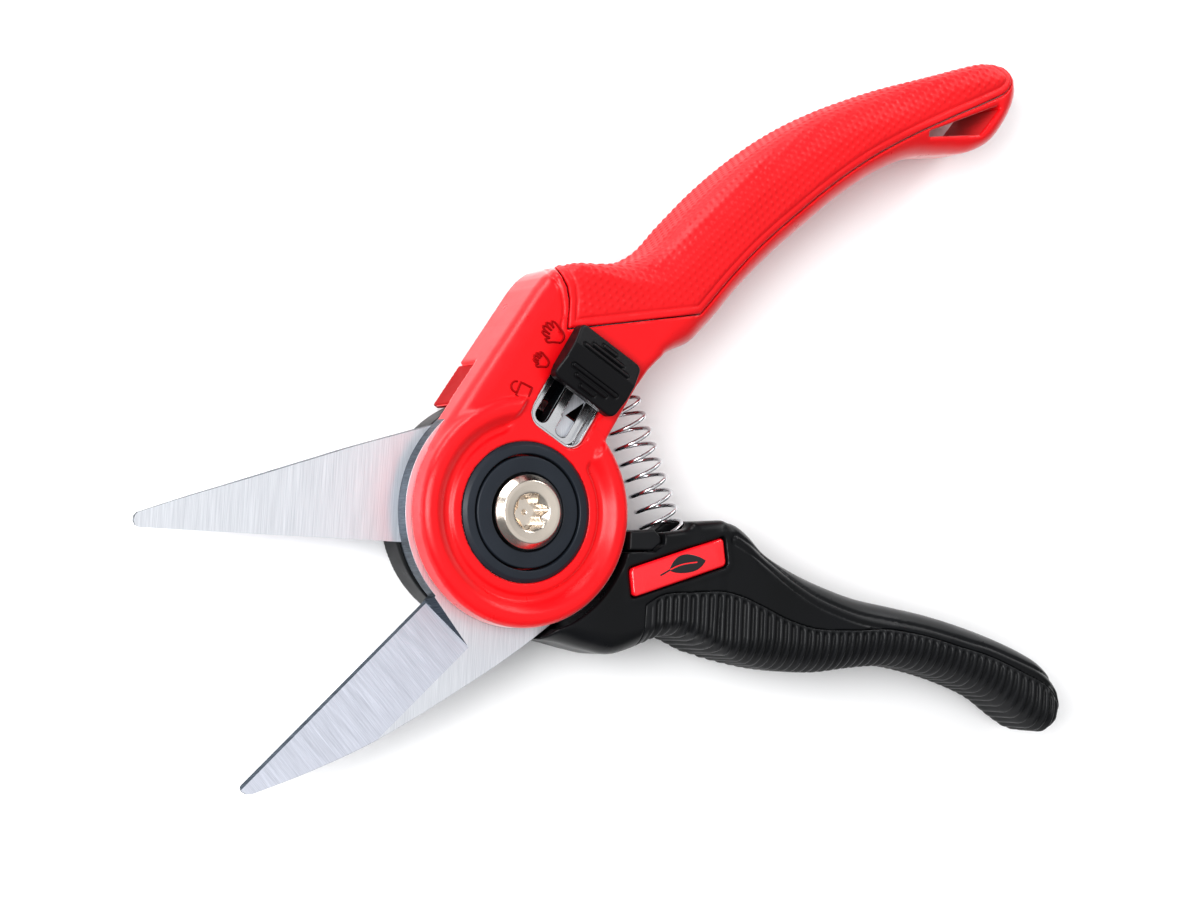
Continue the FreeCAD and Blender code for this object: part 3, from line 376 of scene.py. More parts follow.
MATERIALS = {
    "red_plastic": moulded(
        "red_plastic_moulded", (0.76, 0.003, 0.008), (0.68, 0.002, 0.006), (0.27, 0.36), 3200.0,
        0.012, specular=0.34, sheen=0.5,
    ),
    "red_rubber": moulded(
        "red_rubber_soft", (0.72, 0.003, 0.008), (0.62, 0.002, 0.006), (0.38, 0.50), 4200.0,
        0.014, specular=0.36,
    ),
    "black_plastic": moulded(
        "black_plastic_moulded", (0.005, 0.0055, 0.007), (0.0035, 0.004, 0.0045), (0.26, 0.36),
        3000.0, 0.010, specular=0.2,
    ),
    "black_rubber": moulded(
        "black_rubber_soft", (0.007, 0.0075, 0.009), (0.005, 0.0055, 0.0065), (0.36, 0.46),
        3800.0, 0.010, specular=0.26,
    ),
    "button_plastic": moulded(
        "button_plastic_grained", (0.005, 0.005, 0.006), (0.003, 0.003, 0.004), (0.32, 0.44),
        4200.0, 0.03, specular=0.2,
    ),
    "badge_red": moulded(
        "badge_red_glossy", (0.84, 0.006, 0.016), (0.78, 0.004, 0.012), (0.10, 0.16), 900.0,
        0.004, coat=0.6,
    ),
    "washer_plastic": moulded(
        "washer_plastic_pale", (0.72, 0.70, 0.64), (0.64, 0.62, 0.57), (0.42, 0.55), 2600.0, 0.01
    ),
    "dark_steel": moulded(
        "dark_steel_blued", (0.018, 0.023, 0.032), (0.012, 0.016, 0.023), (0.36, 0.46), 3600.0,
        0.006, specular=0.3,
    ),
    "nickel": plated("nickel_plate", (0.66, 0.59, 0.52), (0.78, 0.71, 0.63), (0.17, 0.27)),
    "steel": plated("bright_steel", (0.66, 0.67, 0.69), (0.80, 0.81, 0.83), (0.14, 0.26)),
    "spring_steel": plated("spring_wire", (0.62, 0.62, 0.64), (0.80, 0.81, 0.83), (0.12, 0.22)),
    "blade_steel": brushed(
        "blade_ground_flat", (0.60, 0.62, 0.66), (0.76, 0.78, 0.82), (0.36, 0.50), 65.0, metal=0.75
    ),
}
# The ground bevels: their grain runs its own way, and their tone, darker than the flats, is painted
# shade.
BEVEL_STEEL_GRAIN_AND_SHADE = brushed(
    "blade_ground_bevel_grain_and_shade", (0.46, 0.48, 0.54), (0.60, 0.62, 0.69), (0.34, 0.48), 105.0, metal=0.85
)
# Painted shade: the blades' edge walls, plunge facets and micro-bevels get a near-black steel that
# stands in for the shade they are seen in; the scratches are real.
EDGE_STEEL_PAINTED_SHADE = brushed("blade_edge_painted_shade", (0.05, 0.06, 0.075), (0.12, 0.14, 0.165), (0.35, 0.5), 0.0)
# Painted shade: a dark, dull red for the wall's recess panel and the raised marks, standing in for
# the shade that falls on them.
RED_PAINTED_SHADE = moulded(
    "red_painted_shade", (0.34, 0.001, 0.003), (0.26, 0.001, 0.002), (0.45, 0.55), 3200.0,
    0.012, specular=0.08,
)
LEAF_INK = moulded(
    "badge_leaf_ink", (0.010, 0.010, 0.012), (0.006, 0.006, 0.007), (0.25, 0.35), 2500.0, 0.006
)

# ---------------------------------------------------------------- making pieces


def make_piece(name, points, faces, turn, body, slot, nodes=(), materials=None, smooth=True):
    """A mesh piece from a half's own millimetre points, placed, painted and set on its body."""
    x, y = turned(points[:, 0], points[:, 1], turn)
    placed = np.stack([x, y, points[:, 2]], 1) * MM
    mesh = bpy.data.meshes.new(name)
    mesh.from_pydata(placed.tolist(), [], [list(face) for face in faces])
    mesh.update()
    if smooth:
        mesh.polygons.foreach_set("use_smooth", [True] * len(mesh.polygons))
    for material in materials or [MATERIALS[slot]]:
        mesh.materials.append(material)
    piece = bpy.data.objects.new(name, mesh)
    SCENE.collection.objects.link(piece)
    if body:
        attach(piece, body)
    if nodes:
        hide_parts(*nodes)
    return piece


def lathe(name, profile, body, slot, nodes=(), segments=128):
    """A turned ring about Z from its closed half section."""
    section = np.asarray(profile, float)
    angles = np.linspace(0, 2 * math.pi, segments, endpoint=False)
    points = np.concatenate(
        [
            np.stack([section[:, 0] * math.cos(a), section[:, 0] * math.sin(a), section[:, 1]], 1)
            for a in angles
        ]
    )
    count = len(section)
    faces = []
    for i in range(segments):
        here, there = i * count, ((i + 1) % segments) * count
        for j in range(count):
            after = (j + 1) % count
            faces.append([here + j, there + j, there + after, here + after])
    return make_piece(name, points, faces, 0.0, body, slot, nodes)


def rounded(corners, radius, pieces=5):
    """A closed section whose corners are rounded. A corner may bring its own radius."""
    done = []
    count = len(corners)
    for i, corner in enumerate(corners):
        here = np.array(corner[:2], float)
        r = corner[2] if len(corner) > 2 else radius
        before = np.array(corners[i - 1][:2], float) - here
        after = np.array(corners[(i + 1) % count][:2], float) - here
        a, b = np.linalg.norm(before), np.linalg.norm(after)
        cosine = np.dot(before, after) / (a * b)
        half = math.acos(max(-1.0, min(1.0, cosine))) / 2
        reach = min(r / math.tan(half), a * 0.45, b * 0.45)
        start, end = here + before / a * reach, here + after / b * reach
        for t in np.linspace(0, 1, pieces):
            done.append((1 - t) ** 2 * start + 2 * t * (1 - t) * here + t**2 * end)
    return done


def tube(path, radius, sides=12):
    """Points and quads of a round wire along a path, with closed ends."""
    path = np.asarray(path, float)
    tangent = np.gradient(path, axis=0)
    tangent /= np.linalg.norm(tangent, axis=1, keepdims=True)
    side = np.cross(tangent[0], (0.3, 0.1, 0.9))
    side /= np.linalg.norm(side)
    points = []
    for place, direction in zip(path, tangent):
        side = side - direction * np.dot(side, direction)
        side /= np.linalg.norm(side)
        up = np.cross(direction, side)
        for a in np.linspace(0, 2 * math.pi, sides, endpoint=False):
            points.append(place + radius * (math.cos(a) * side + math.sin(a) * up))
    faces = []
    for i in range(len(path) - 1):
        for j in range(sides):
            k = (j + 1) % sides
            faces.append([i * sides + j, i * sides + k, (i + 1) * sides + k, (i + 1) * sides + j])
    faces.append(list(range(sides))[::-1])
    faces.append([(len(path) - 1) * sides + j for j in range(sides)])
    return np.array(points), faces


# ---------------------------------------------------------------- camera, floor and light


def make_camera():
    data = bpy.data.cameras.new("camera")
    data.lens = 93
    data.sensor_width = 36
    data.clip_start = 0.01
    camera = bpy.data.objects.new("camera", data)
    SCENE.collection.objects.link(camera)
    forward = Vector((0.45484, -0.13518, -0.88025))
    up = Vector((0.34569, 0.93771, 0.03462))
    right = forward.cross(up).normalized()
    camera.matrix_world = Matrix(
        (
            (right.x, up.x, -forward.x, -0.2324),
            (right.y, up.y, -forward.y, 0.0794),
            (right.z, up.z, -forward.z, 0.501),
            (0, 0, 0, 1),
        )
    )
    SCENE.camera = camera


def softbox(name, place, target, width, height, watts):
    data = bpy.data.lights.new(name, "AREA")
    data.shape = "RECTANGLE"
    data.size = width
    data.size_y = height
    data.energy = watts
    light = bpy.data.objects.new(name, data)
    SCENE.collection.objects.link(light)
    light.location = place
    light.rotation_euler = (Vector(target) - Vector(place)).to_track_quat("-Z", "Y").to_euler()


def make_studio():
    low, high = CAD_BOX
    centre = (low + high) / 2
    bpy.ops.mesh.primitive_plane_add(size=3.0, location=(centre.x, centre.y, low.z - 0.0002))
    floor = bpy.context.object
    floor.name = "studio_floor"
    material, tree, shader = nodes_of("floor_pale")
    shader.inputs["Base Color"].default_value = (0.96, 0.96, 0.965, 1.0)
    shader.inputs["Roughness"].default_value = 0.9
    shader.inputs["Specular IOR Level"].default_value = 0.1
    floor.data.materials.append(material)
    softbox("key_left", (-0.55, 0.30, 0.55), centre, 0.5, 0.6, 9.0)
    softbox("rim_right", (0.85, 0.45, 0.30), centre, 0.3, 0.9, 4.0)
    softbox("wall_back", (-0.10, 0.78, 0.10), centre, 0.6, 0.22, 4.5)
    world = bpy.data.worlds.new("studio_world")
    SCENE.world = world
    world.use_nodes = True
    tree = world.node_tree
    background = tree.nodes["Background"]
    place = tree.nodes.new("ShaderNodeTexCoord")
    split = tree.nodes.new("ShaderNodeSeparateXYZ")
    tree.links.new(place.outputs["Generated"], split.inputs["Vector"])
    sky = ramp(tree, split.outputs["Z"], (0.16, 0.17, 0.18), (1.0, 1.0, 1.0), 0.15, 0.92)
    tree.links.new(sky, background.inputs["Color"])
    background.inputs["Strength"].default_value = 0.95
    SCENE.view_settings.view_transform = "Standard"
    SCENE.view_settings.look = "None"
    SCENE.view_settings.gamma = 0.88


# ---------------------------------------------------------------- outlines of the two halves

RED_STATIONS = [  # x, low y, high y, rear z, front z
    (33.0, 2.9, 26.2, 1.8, 16.8),
    (38.0, 2.9, 24.8, 1.0, 17.8),
    (42.0, 1.6, 21.8, 0.5, 18.2),
    (46.5, -0.2, 18.6, 0.2, 18.5),
    (52.0, -0.3, 16.8, 0.1, 18.6),
    (60.0, 0.4, 17.1, 0.1, 18.6),
    (70.0, 0.5, 17.3, 0.1, 18.6),
    (80.0, -0.1, 16.6, 0.1, 18.5),
    (90.0, -1.1, 14.9, 0.1, 18.2),
    (100.0, -3.1, 12.0, 0.2, 17.9),
    (108.0, -6.1, 8.9, 0.4, 17.6),
    (114.0, -10.2, 6.3, 0.6, 17.4),
    (118.5, -13.3, 4.1, 0.8, 17.3),
    (123.0, -14.5, 1.8, 1.0, 17.2),
    (128.0, -14.0, -0.6, 1.1, 17.0),
    (132.0, -12.9, -2.6, 1.4, 16.6),
    (134.8, -11.5, -4.6, 2.0, 16.0),
]
RED_END = [(136.2, -6.2), (136.6, -7.8), (136.4, -9.6)]

BLACK_STATIONS = [
    (34.0, -20.1, 0.0, 0.6, 17.2),
    (39.0, -22.1, 0.4, 0.4, 17.6),
    (43.0, -23.8, 0.2, 0.2, 17.9),
    (46.5, -24.7, -1.5, 0.1, 18.1),
    (50.0, -25.4, -4.2, 0.1, 18.2),
    (56.0, -26.0, -7.3, 0.1, 18.2),
    (63.0, -26.0, -9.9, 0.1, 18.2),
    (71.0, -24.9, -12.1, 0.1, 18.2),
    (79.0, -24.3, -13.3, 0.1, 18.2),
    (87.0, -25.3, -14.5, 0.1, 18.0),
    (95.0, -27.2, -16.2, 0.2, 17.8),
    (103.0, -30.1, -18.4, 0.4, 17.6),
    (109.0, -33.6, -20.6, 0.6, 17.4),
    (113.0, -35.5, -22.5, 0.8, 17.2),
    (116.0, -35.6, -24.8, 1.2, 16.8),
]
BLACK_END = [(118.1, -27.6), (118.9, -30.6), (118.2, -33.8)]

RED_HEAD = [
    (-5.1, 19.65), (-0.8, 20.95), (29.0, 27.4), (31.5, 27.7), (34.0, 27.3), (36.4, 26.0),
    (38.0, 24.4), (39.0, 22.0), (39.0, 3.0), (35.5, 2.7), (20.3, -1.4), (14.0, -2.2),
    (0.0, 0.0),
]
RED_LEFT_BORDER = [  # y, x
    (18.4, 28.0), (20.2, 29.9), (22.0, 31.6), (24.0, 32.8), (26.0, 33.3), (40.0, 33.4),
]
RED_LOWER_BORDER = [
    (50.0, 3.2), (58.0, 3.9), (68.0, 4.2), (78.0, 3.6), (88.0, 2.6), (98.0, 0.9), (108.0, -1.7),
    (118.0, -4.9), (127.0, -8.0), (131.5, -9.3), (134.2, -9.0), (135.4, -7.2), (135.2, -5.2),
]
LANYARD = [
    (111.9, -4.6), (113.9, -6.1), (121.1, -11.6), (128.2, -10.7), (128.1, -10.0), (112.4, -3.8),
]
BLACK_HEAD_LOWER = [
    (-1.05, -19.97), (3.0, -21.7), (9.0, -22.5), (15.0, -23.7), (19.5, -24.3), (24.0, -23.0),
    (29.0, -20.8), (34.0, -20.3), (40.0, -22.6),
]
RIB_BORDER = [
    (24.8, -15.2), (27.5, -13.5), (34.0, -12.5), (42.0, -12.3), (48.0, -14.2), (54.0, -16.6),
    (60.0, -18.0), (68.0, -18.0), (76.0, -17.6), (84.0, -18.4), (92.0, -20.1), (100.0, -21.9),
    (108.0, -24.8), (114.0, -27.4), (117.2, -30.4),
]
BLACK_BEAD = [
    (42.6, -2.6), (45.5, -4.0), (50.0, -6.5), (55.0, -10.0), (60.0, -12.8), (65.0, -14.6),
    (70.0, -15.9), (75.0, -16.6), (80.0, -17.2), (85.0, -17.9), (90.0, -18.9), (95.0, -20.0),
    (100.0, -21.0), (105.0, -22.6), (110.0, -24.3), (114.0, -25.9), (117.0, -27.9),
    (117.4, -30.4), (116.4, -33.0),
]
DISC_CREST = [  # radius, level of the red disc's front face
    (13.9, 17.0), (14.25, 16.75), (14.6, 16.38), (15.0, 16.22), (15.5, 16.3), (16.0, 16.7),
    (16.5, 17.25), (17.0, 17.75), (17.5, 18.12), (18.1, 18.3), (18.85, 18.25), (19.5, 17.95),
    (19.95, 17.5), (20.3, 17.0),
]
SLOT_START = (12.8, 6.5)
SLOT_TURN = 15.0
SPRING_AXIS = (28.4, 9.5)  # x and z; the spring runs along Y at rest


def grip_outline(stations, end):
    top = through([(s[0], s[2]) for s in stations] + [end[0]], 1.2)
    bottom = through([(s[0], s[1]) for s in stations] + [end[-1]], 1.2)
    tip = through([top[-1], *end[1:-1], bottom[-1]], 0.8)[1:-1]
    return np.concatenate([top, tip, bottom[::-1]])


def grip_field(block, stations, end, rounding):
    flat = outline(block.x[:, :, 0], block.y[:, :, 0], grip_outline(stations, end))[:, :, None]
    places = [s[0] for s in stations]
    rear = along(block.axes[0], places, [s[3] for s in stations])[:, None, None]
    front = along(block.axes[0], places, [s[4] for s in stations])[:, None, None]
    return extrude(flat, block.z, rear, front, rounding)


def flat_outline(block, points):
    return outline(block.x[:, :, 0], block.y[:, :, 0], points)[:, :, None]


def red_block(step):
    return Block(
        steps((-21.5, 46.0, step), (46.0, 138.0, step * 1.15)),
        steps((-21.5, 29.0, step)),
        steps((-0.6, 19.4, step)),
    )


def red_whole(block):
    """The red half with its overmould, before they are parted."""
    radius = np.hypot(block.x, block.y)
    rest_x, rest_y = turned(block.x, block.y, RED_TURN)
    s, v = turned(block.x - SLOT_START[0], block.y - SLOT_START[1], -SLOT_TURN)
    rounding = 2.0 + 4.4 * ease((block.x - 36) / 14) - 2.6 * ease((block.x - 110) / 14)
    field = grip_field(block, RED_STATIONS, RED_END, rounding)
    head_round = 0.9 + 2.7 * ease((block.y - 13.0) / 9.0)
    head = both(flat_outline(block, RED_HEAD), block.z - FACE, head_round)
    head = both(head, 2.6 - block.z, 0.8)
    head = np.maximum(head, 18.1 - radius)
    corridor = box2(s, -8.0, 26.0, v, -9.0, 7.6, 1.0)
    crest = np.interp(radius, [p[0] for p in DISC_CREST], [p[1] for p in DISC_CREST])
    crest = crest + (FACE - crest) * ease(0.5 - corridor / 1.3)
    disc = np.maximum(FRONT_BLADE_HIGH - block.z, (block.z - crest) * 0.85)
    disc = both(radius - 20.3, disc, 0.4).astype(np.float32)
    field = melt(field, melt(head, disc, 0.7), 2.4)
    field = np.minimum(field, np.maximum(radius - 13.0, slab(block.z, 12.8, 13.8)))
    field = carve(field, np.maximum(radius - 21.6, block.z - FRONT_BLADE_LOW), 0.3)
    field = carve(field, np.maximum(np.maximum(block.x - 4.7, -block.y), block.z - 9.6), 0.3)
    p, q = turned(block.x - 4.7, block.y - 20.6, -12.2)
    field = carve(field, np.maximum(box2(p, 0.3, 9.3, q, 0.75, 4.0), block.z - 9.4), 0.1)
    field = carve(field, np.maximum(radius - 12.42, RING_LOW - block.z))
    field = carve(field, radius - 5.55)
    well = np.maximum(box2(s, 0, 16.8, v, -6, 6, 3.0), FRONT_BLADE_LOW - 0.2 - block.z)
    field = carve(field, well, 0.35)
    hole = flat_outline(block, LANYARD) + 0 * block.z
    field = carve(field, hole, 1.0)
    pocket = np.hypot(rest_x - SPRING_AXIS[0], block.z - SPRING_AXIS[1]) - 4.6
    pocket = np.maximum(pocket, slab(rest_y, 5.0, 15.75))
    return np.maximum(carve(field, pocket, 0.3), -block.z)


def red_border():
    lower = through(RED_LOWER_BORDER, 1.5).tolist()
    return [(x, y) for y, x in RED_LEFT_BORDER[::-1]] + lower + [(136.0, -4.0), (139.0, 40.0)]


def red_zone(block):
    """Negative where the red half is overmould; the border slants down the head's wall."""
    border_x = np.interp(block.y, [y for y, x in RED_LEFT_BORDER], [x for y, x in RED_LEFT_BORDER])
    slant = (border_x + 0.45 * (FACE - block.z) - block.x) * 0.85 - 10.0 * ease(
        (20.5 - block.y) / 2.0
    )
    return np.maximum(flat_outline(block, red_border()), slant)


def hex_dots(a, b, pitch, size):
    """Rounded dots in staggered rows: 1 at a dot's middle, 0 between dots."""
    row = pitch * math.sqrt(3) / 2
    best = np.zeros_like(a)
    for shift in (0.0, 1.0):
        u = (a + shift * pitch / 2) / pitch
        w = (b + shift * row) / (2 * row)
        du = (u - np.round(u)) * pitch
        dw = (w - np.round(w)) * 2 * row
        best = np.maximum(best, 1 - (du**2 + dw**2) / size**2)
    return np.sqrt(np.maximum(best, 0))


def make_red_half():
    block = red_block(0.30)
    whole = red_whole(block)
    zone = red_zone(block)
    near_border = ease((37.0 - block.x) / 2.0) * ease((block.y - 17.0) / 2.0)
    whole = whole + 0.36 * np.exp(-(((zone - 1.35) / 0.33) ** 2)) * near_border
    shell = both(whole, 0.11 - zone, 0.25)
    points, quads = skin(shell, block)
    piece = make_piece(
        "red_shell",
        points,
        quads,
        RED_TURN,
        "red_side",
        "red_plastic",
        ["red_handle"],
        [MATERIALS["red_plastic"], MATERIALS["button_plastic"]],
    )
    centre = points[quads].mean(axis=1)
    s, v = turned(centre[:, 0] - SLOT_START[0], centre[:, 1] - SLOT_START[1], -SLOT_TURN)
    # Painted shade: the red half's own walls and floor in the well under the lock tray take the
    # black button plastic, standing in for the shade in the well.
    well_painted_shade = (
        (box2(s, -0.3, 17.1, v, -6.3, 6.3, 3.0) < 0)
        & (centre[:, 2] < PLATE_HIGH)
        & (centre[:, 2] > 9.0)
    )
    piece.data.polygons.foreach_set("material_index", well_painted_shade.astype(int).tolist())
    fine = Block(steps((28.0, 137.6, 0.25)), steps((-15.5, 28.6, 0.25)), steps((-0.6, 19.4, 0.25)))
    whole = red_whole(fine)
    zone = red_zone(fine)
    over = both(whole - 0.10, zone + 0.11, 0.3)
    over = over + 0.26 * np.exp(-(((zone + 1.5) / 0.25) ** 2))
    points, quads = skin(over, fine)
    normals = point_normals(points, quads)
    depth = outline(points[:, 0], points[:, 1], red_border())
    upward = ease((np.abs(normals[:, 2]) - 0.45) / 0.25)
    edge_on = 1 - upward
    dots = upward * hex_dots(points[:, 0], points[:, 1], 1.45, 0.40)
    dots += edge_on * hex_dots(points[:, 0], points[:, 2] + 0.7, 1.45, 0.40)
    dots *= ease((-depth - 2.0) / 0.6)
    dots *= ease((134.5 - points[:, 0]) / 3.0) * ease((points[:, 2] - 0.2) / 0.5)
    points = points + normals * (0.15 * dots)[:, None]
    make_piece("red_overmould", points, quads, RED_TURN, "red_side", "red_rubber", ["red_grip"])
    # A sheet in the wall's recess, in the dark shade red: it stands in for the shade inside the
    # recess and is no part of the real tool.
    panel = Block(steps((4.0, 15.0, 0.2)), steps((18.0, 26.0, 0.2)), steps((1.0, 9.8, 0.2)))
    p, q = turned(panel.x - 4.7, panel.y - 20.6, -12.2)
    field = extrude(box2(p, 0.4, 9.2, q, -1.2, 0.87), panel.z, 1.6, 9.3, 0.12)
    field = np.maximum(field, 21.1 - np.hypot(panel.x, panel.y))
    points, quads = skin(field, panel)
    make_piece(
        "wall_painted_shade_panel", points, quads, RED_TURN, "red_side", "red_rubber", materials=[RED_PAINTED_SHADE]
    )


# ---------------------------------------------------------------- the black half


def black_whole(block):
    radius = np.hypot(block.x, block.y)
    rest_x, rest_y = turned(block.x, block.y, BLACK_TURN)
    rounding = 2.0 + 4.2 * ease((block.x - 38) / 14) - 1.2 * ease((block.x - 100) / 14)
    grip = grip_field(block, BLACK_STATIONS, BLACK_END, rounding)
    corners = through(BLACK_HEAD_LOWER, 1.2).tolist()
    corners += [(40.0, 0.0), (27.5, -2.2), (20.6, -3.2), (0.0, 0.0)]
    block_round = 1.2 + 3.4 * ease((-14.0 - block.y) / 8.0)
    body = extrude(flat_outline(block, corners), block.z, 0.0, FACE, block_round)
    field = melt(grip, body, 2.2)
    field = carve(field, np.maximum(radius - 21.6, REAR_BLADE_LOW - block.z), 0.5)
    disc = both(radius - 20.5, slab(block.z, 0.0, REAR_BLADE_LOW), 0.45)
    field = melt(field, disc, 0.4)
    field = carve(field, np.maximum(radius - 9.2, block.z - 4.7), 0.3)
    field = carve(field, radius - 5.55)
    pocket = np.hypot(rest_x - SPRING_AXIS[0], block.z - SPRING_AXIS[1]) - 4.6
    field = carve(field, np.maximum(pocket, slab(rest_y, -19.45, -5.0)), 0.3)
    stop = flat_outline(block, [(-12, -16), (4, -17), (7.2, -20.6), (-1, -26.5), (-12, -30)])
    field = carve(field, np.maximum(stop, REAR_BLADE_HIGH - block.z), 0.4)
    pad = flat_outline(block, [(20.9, -5.9), (26.2, -5.7), (28.2, -4.2), (28.2, 2.2), (20.9, 2.2)])
    field = carve(field, np.maximum(pad, 4.9 - block.z), 0.2)
    return np.maximum(field, -block.z)


def badge_field(block, inset, low, high, rounding, corner):
    """A long plate that leans, at the badge's place in the black half's own frame."""
    a, b = turned(block.x - 30.9, block.y + 8.15, -19.2)
    flat = box2(a - 0.17 * b, -10.1 + inset, 10.1 - inset, b, -2.65 + inset, 2.65 - inset, corner)
    return both(flat, slab(block.z, low, high), rounding), a, b


def rib_zone(x, y):
    corners = [(24.4, -50.0)] + through(RIB_BORDER, 1.5).tolist() + [(117.8, -50.0)]
    return outline(x, y, corners)


def make_black_half():
    block = Block(
        steps((-21.5, 46.0, 0.30), (46.0, 120.0, 0.34)),
        steps((-37.0, 21.4, 0.30)),
        steps((-0.6, 19.0, 0.30)),
    )
    whole = black_whole(block)
    recess, a, b = badge_field(block, -0.12, BADGE_LOW, 30.0, 0.1, 0.7)
    whole = carve(whole, recess, 0.25)
    lip = box2(a - 0.17 * b, -10.1, 10.1, b, -2.65, 2.65, 0.7)
    whole = whole - 0.16 * np.exp(-(((lip - 0.75) / 0.4) ** 2)) * ease(block.z - 12)
    line = through(BLACK_BEAD, 1.2).tolist()
    bead = away_from(block.x[:, :, 0], block.y[:, :, 0], line)[:, :, None]
    whole = whole + 0.34 * np.exp(-(((bead - 0.8) / 0.28) ** 2))
    zone = rib_zone(block.x[:, :, 0], block.y[:, :, 0])[:, :, None]
    shell = both(whole, 0.02 - zone, 0.05)
    points, quads = skin(shell, block)
    make_piece(
        "black_shell", points, quads, BLACK_TURN, "black_side", "black_plastic", ["black_handle"]
    )
    fine = Block(steps((23.6, 119.4, 0.20)), steps((-37.0, -11.4, 0.26)), steps((-0.6, 19.0, 0.26)))
    whole = black_whole(fine)
    recess, a, b = badge_field(fine, -0.12, BADGE_LOW, 30.0, 0.1, 0.7)
    whole = carve(whole, recess, 0.25)
    zone = rib_zone(fine.x[:, :, 0], fine.y[:, :, 0])[:, :, None]
    pitch = 1.74
    rib = ease(0.5 + 0.66 * np.cos(2 * np.pi * (fine.x - 26.5) / pitch))
    reach = ease((-zone - 0.25) / 0.8) * ease((fine.x - 25.6) / 1.2) * ease((117.0 - fine.x) / 2.0)
    whole = np.maximum(whole + (0.58 * (1 - rib) - 0.16 * rib) * reach, -fine.z)
    over = both(whole, zone + 0.02, 0.05)
    points, quads = skin(over, fine)
    make_piece(
        "black_overmould", points, quads, BLACK_TURN, "black_side", "black_rubber", ["black_grip"]
    )


def make_badge():
    block = Block(steps((19.0, 43.0, 0.15)), steps((-15.5, -1.0, 0.15)), steps((15.6, 18.4, 0.12)))
    field, a, b = badge_field(block, 0.10, BADGE_LOW, BADGE_TOP + 0.02, 0.55, 0.9)
    crown = 0.34 * (1 - (np.abs(b) / 2.7) ** 2) * (1 - ease((np.abs(a) - 7.6) / 2.4))
    field = field - crown * ease(block.z - 16.4)
    points, quads = skin(field, block)
    make_piece("badge_plate", points, quads, BLACK_TURN, "black_side", "badge_red", ["badge"])
    # a plain leaf with a stalk and a slit midrib
    block = Block(steps((24.0, 40.0, 0.09)), steps((-12.0, -2.0, 0.09)), steps((17.0, 18.4, 0.07)))
    a, b = turned(block.x - 30.9, block.y + 8.15, -19.2)
    bow = b - 0.35 * np.cos(a * 0.55)
    blade = np.maximum(np.hypot(a - 1.5, bow + 3.6) - 5.3, np.hypot(a - 1.5, bow - 3.6) - 5.3)
    blade = np.maximum(blade, 0.11 - np.abs(bow) - 10.0 * ease((a - 3.6) / 1.0))
    stalk = box2(a, -4.4, -2.2, bow, -0.16, 0.16, 0.1)
    leaf = both(np.minimum(blade, stalk), block.z - BADGE_TOP - 0.42 + 0.045 * b**2, 0.05)
    leaf = np.maximum(leaf, 17.25 - block.z)
    points, quads = skin(leaf, block)
    make_piece(
        "badge_leaf", points, quads, BLACK_TURN, "black_side", "black_plastic", materials=[LEAF_INK]
    )


# ---------------------------------------------------------------- lock


def slot_points(points):
    """From the slot's frame to the red half's own."""
    x, y = turned(points[:, 0], points[:, 1], SLOT_TURN)
    return np.stack([x + SLOT_START[0], y + SLOT_START[1], points[:, 2]], 1)


def lock_rest():
    """Place of the button's middle along the slot, from the frame."""
    x, y = middle("lock_button")
    x, y = turned(x, y, -RED_TURN)
    return turned(x - SLOT_START[0], y - SLOT_START[1], -SLOT_TURN)[0]


def make_lock():
    rest = lock_rest()
    block = Block(steps((-6.2, 6.4, 0.11)), steps((-7.7, 7.6, 0.11)), steps((17.2, 22.8, 0.11)))
    height = BUTTON_TOP - 0.35 - 1.5 * np.clip((np.abs(block.x) - 1.4) / 3.9, 0, 1.2)
    flat = box2(block.x, -5.4, 5.7, block.y, -7.15, 7.0, 1.25)
    # the underside is relieved at the end that passes over the pivot's ring
    underside = BUTTON_LOW + 0.35 * ease((-3.3 - block.x) / 0.8)
    field = both(flat, np.maximum(underside - block.z, (block.z - height) * 0.92), 0.4)
    for offset, half in ((2.15, 4.9), (3.2, 3.3), (4.25, 1.4)):
        for side in (-1, 1):
            line = [(side * offset, -half), (side * offset, half)]
            rib = away_from(block.x[:, :, 0], block.y[:, :, 0], line)
            over_face = block.z - height - 0.34
            ridge = both(rib[:, :, None] - 0.28, over_face, 0.14)
            ridge = np.maximum(ridge, height - 0.8 - block.z)
            field = melt(field, ridge, 0.08)
            moat = both(rib[:, :, None] - 0.52, 0.28 - rib[:, :, None], 0.02)
            field = carve(field, np.maximum(moat, height - 0.16 - block.z), 0.06)
    points, quads = skin(field, block)
    points[:, 0] += rest
    make_piece(
        "button_cap",
        slot_points(points),
        quads,
        RED_TURN,
        "lock",
        "button_plastic",
        ["lock_button"],
    )
    # the steel plate in the slot: an upturned rim and two openings
    block = Block(steps((-0.6, 17.4, 0.13)), steps((-6.6, 6.6, 0.13)), steps((12.4, 16.6, 0.13)))
    tray = box2(block.x, 0.1, 16.7, block.y, -5.9, 5.9, 2.9)
    field = np.maximum(tray, slab(block.z, PLATE_LOW + 0.02, PLATE_HIGH))
    wall = np.maximum(np.abs(tray + 0.25) - 0.25, slab(block.z, PLATE_LOW + 0.02, 16.0))
    field = melt(field, wall, 0.4)
    wide = box2(block.x, 1.9, 16.2, block.y, 0.9, 3.7, 1.4)
    narrow = box2(block.x, 1.9, 16.2, block.y, -3.7, -1.2, 1.1)
    step_in = box2(block.x, 5.2, 16.2, block.y, -3.7, -0.9, 0.4)
    for opening in (wide, narrow, step_in):
        field = carve(field, opening + 0 * block.z, 0.15)
    points, quads = skin(field, block)
    make_piece(
        "lock_tray", slot_points(points), quads, RED_TURN, "red_side", "steel", ["lock_plate"]
    )


# ---------------------------------------------------------------- pivot


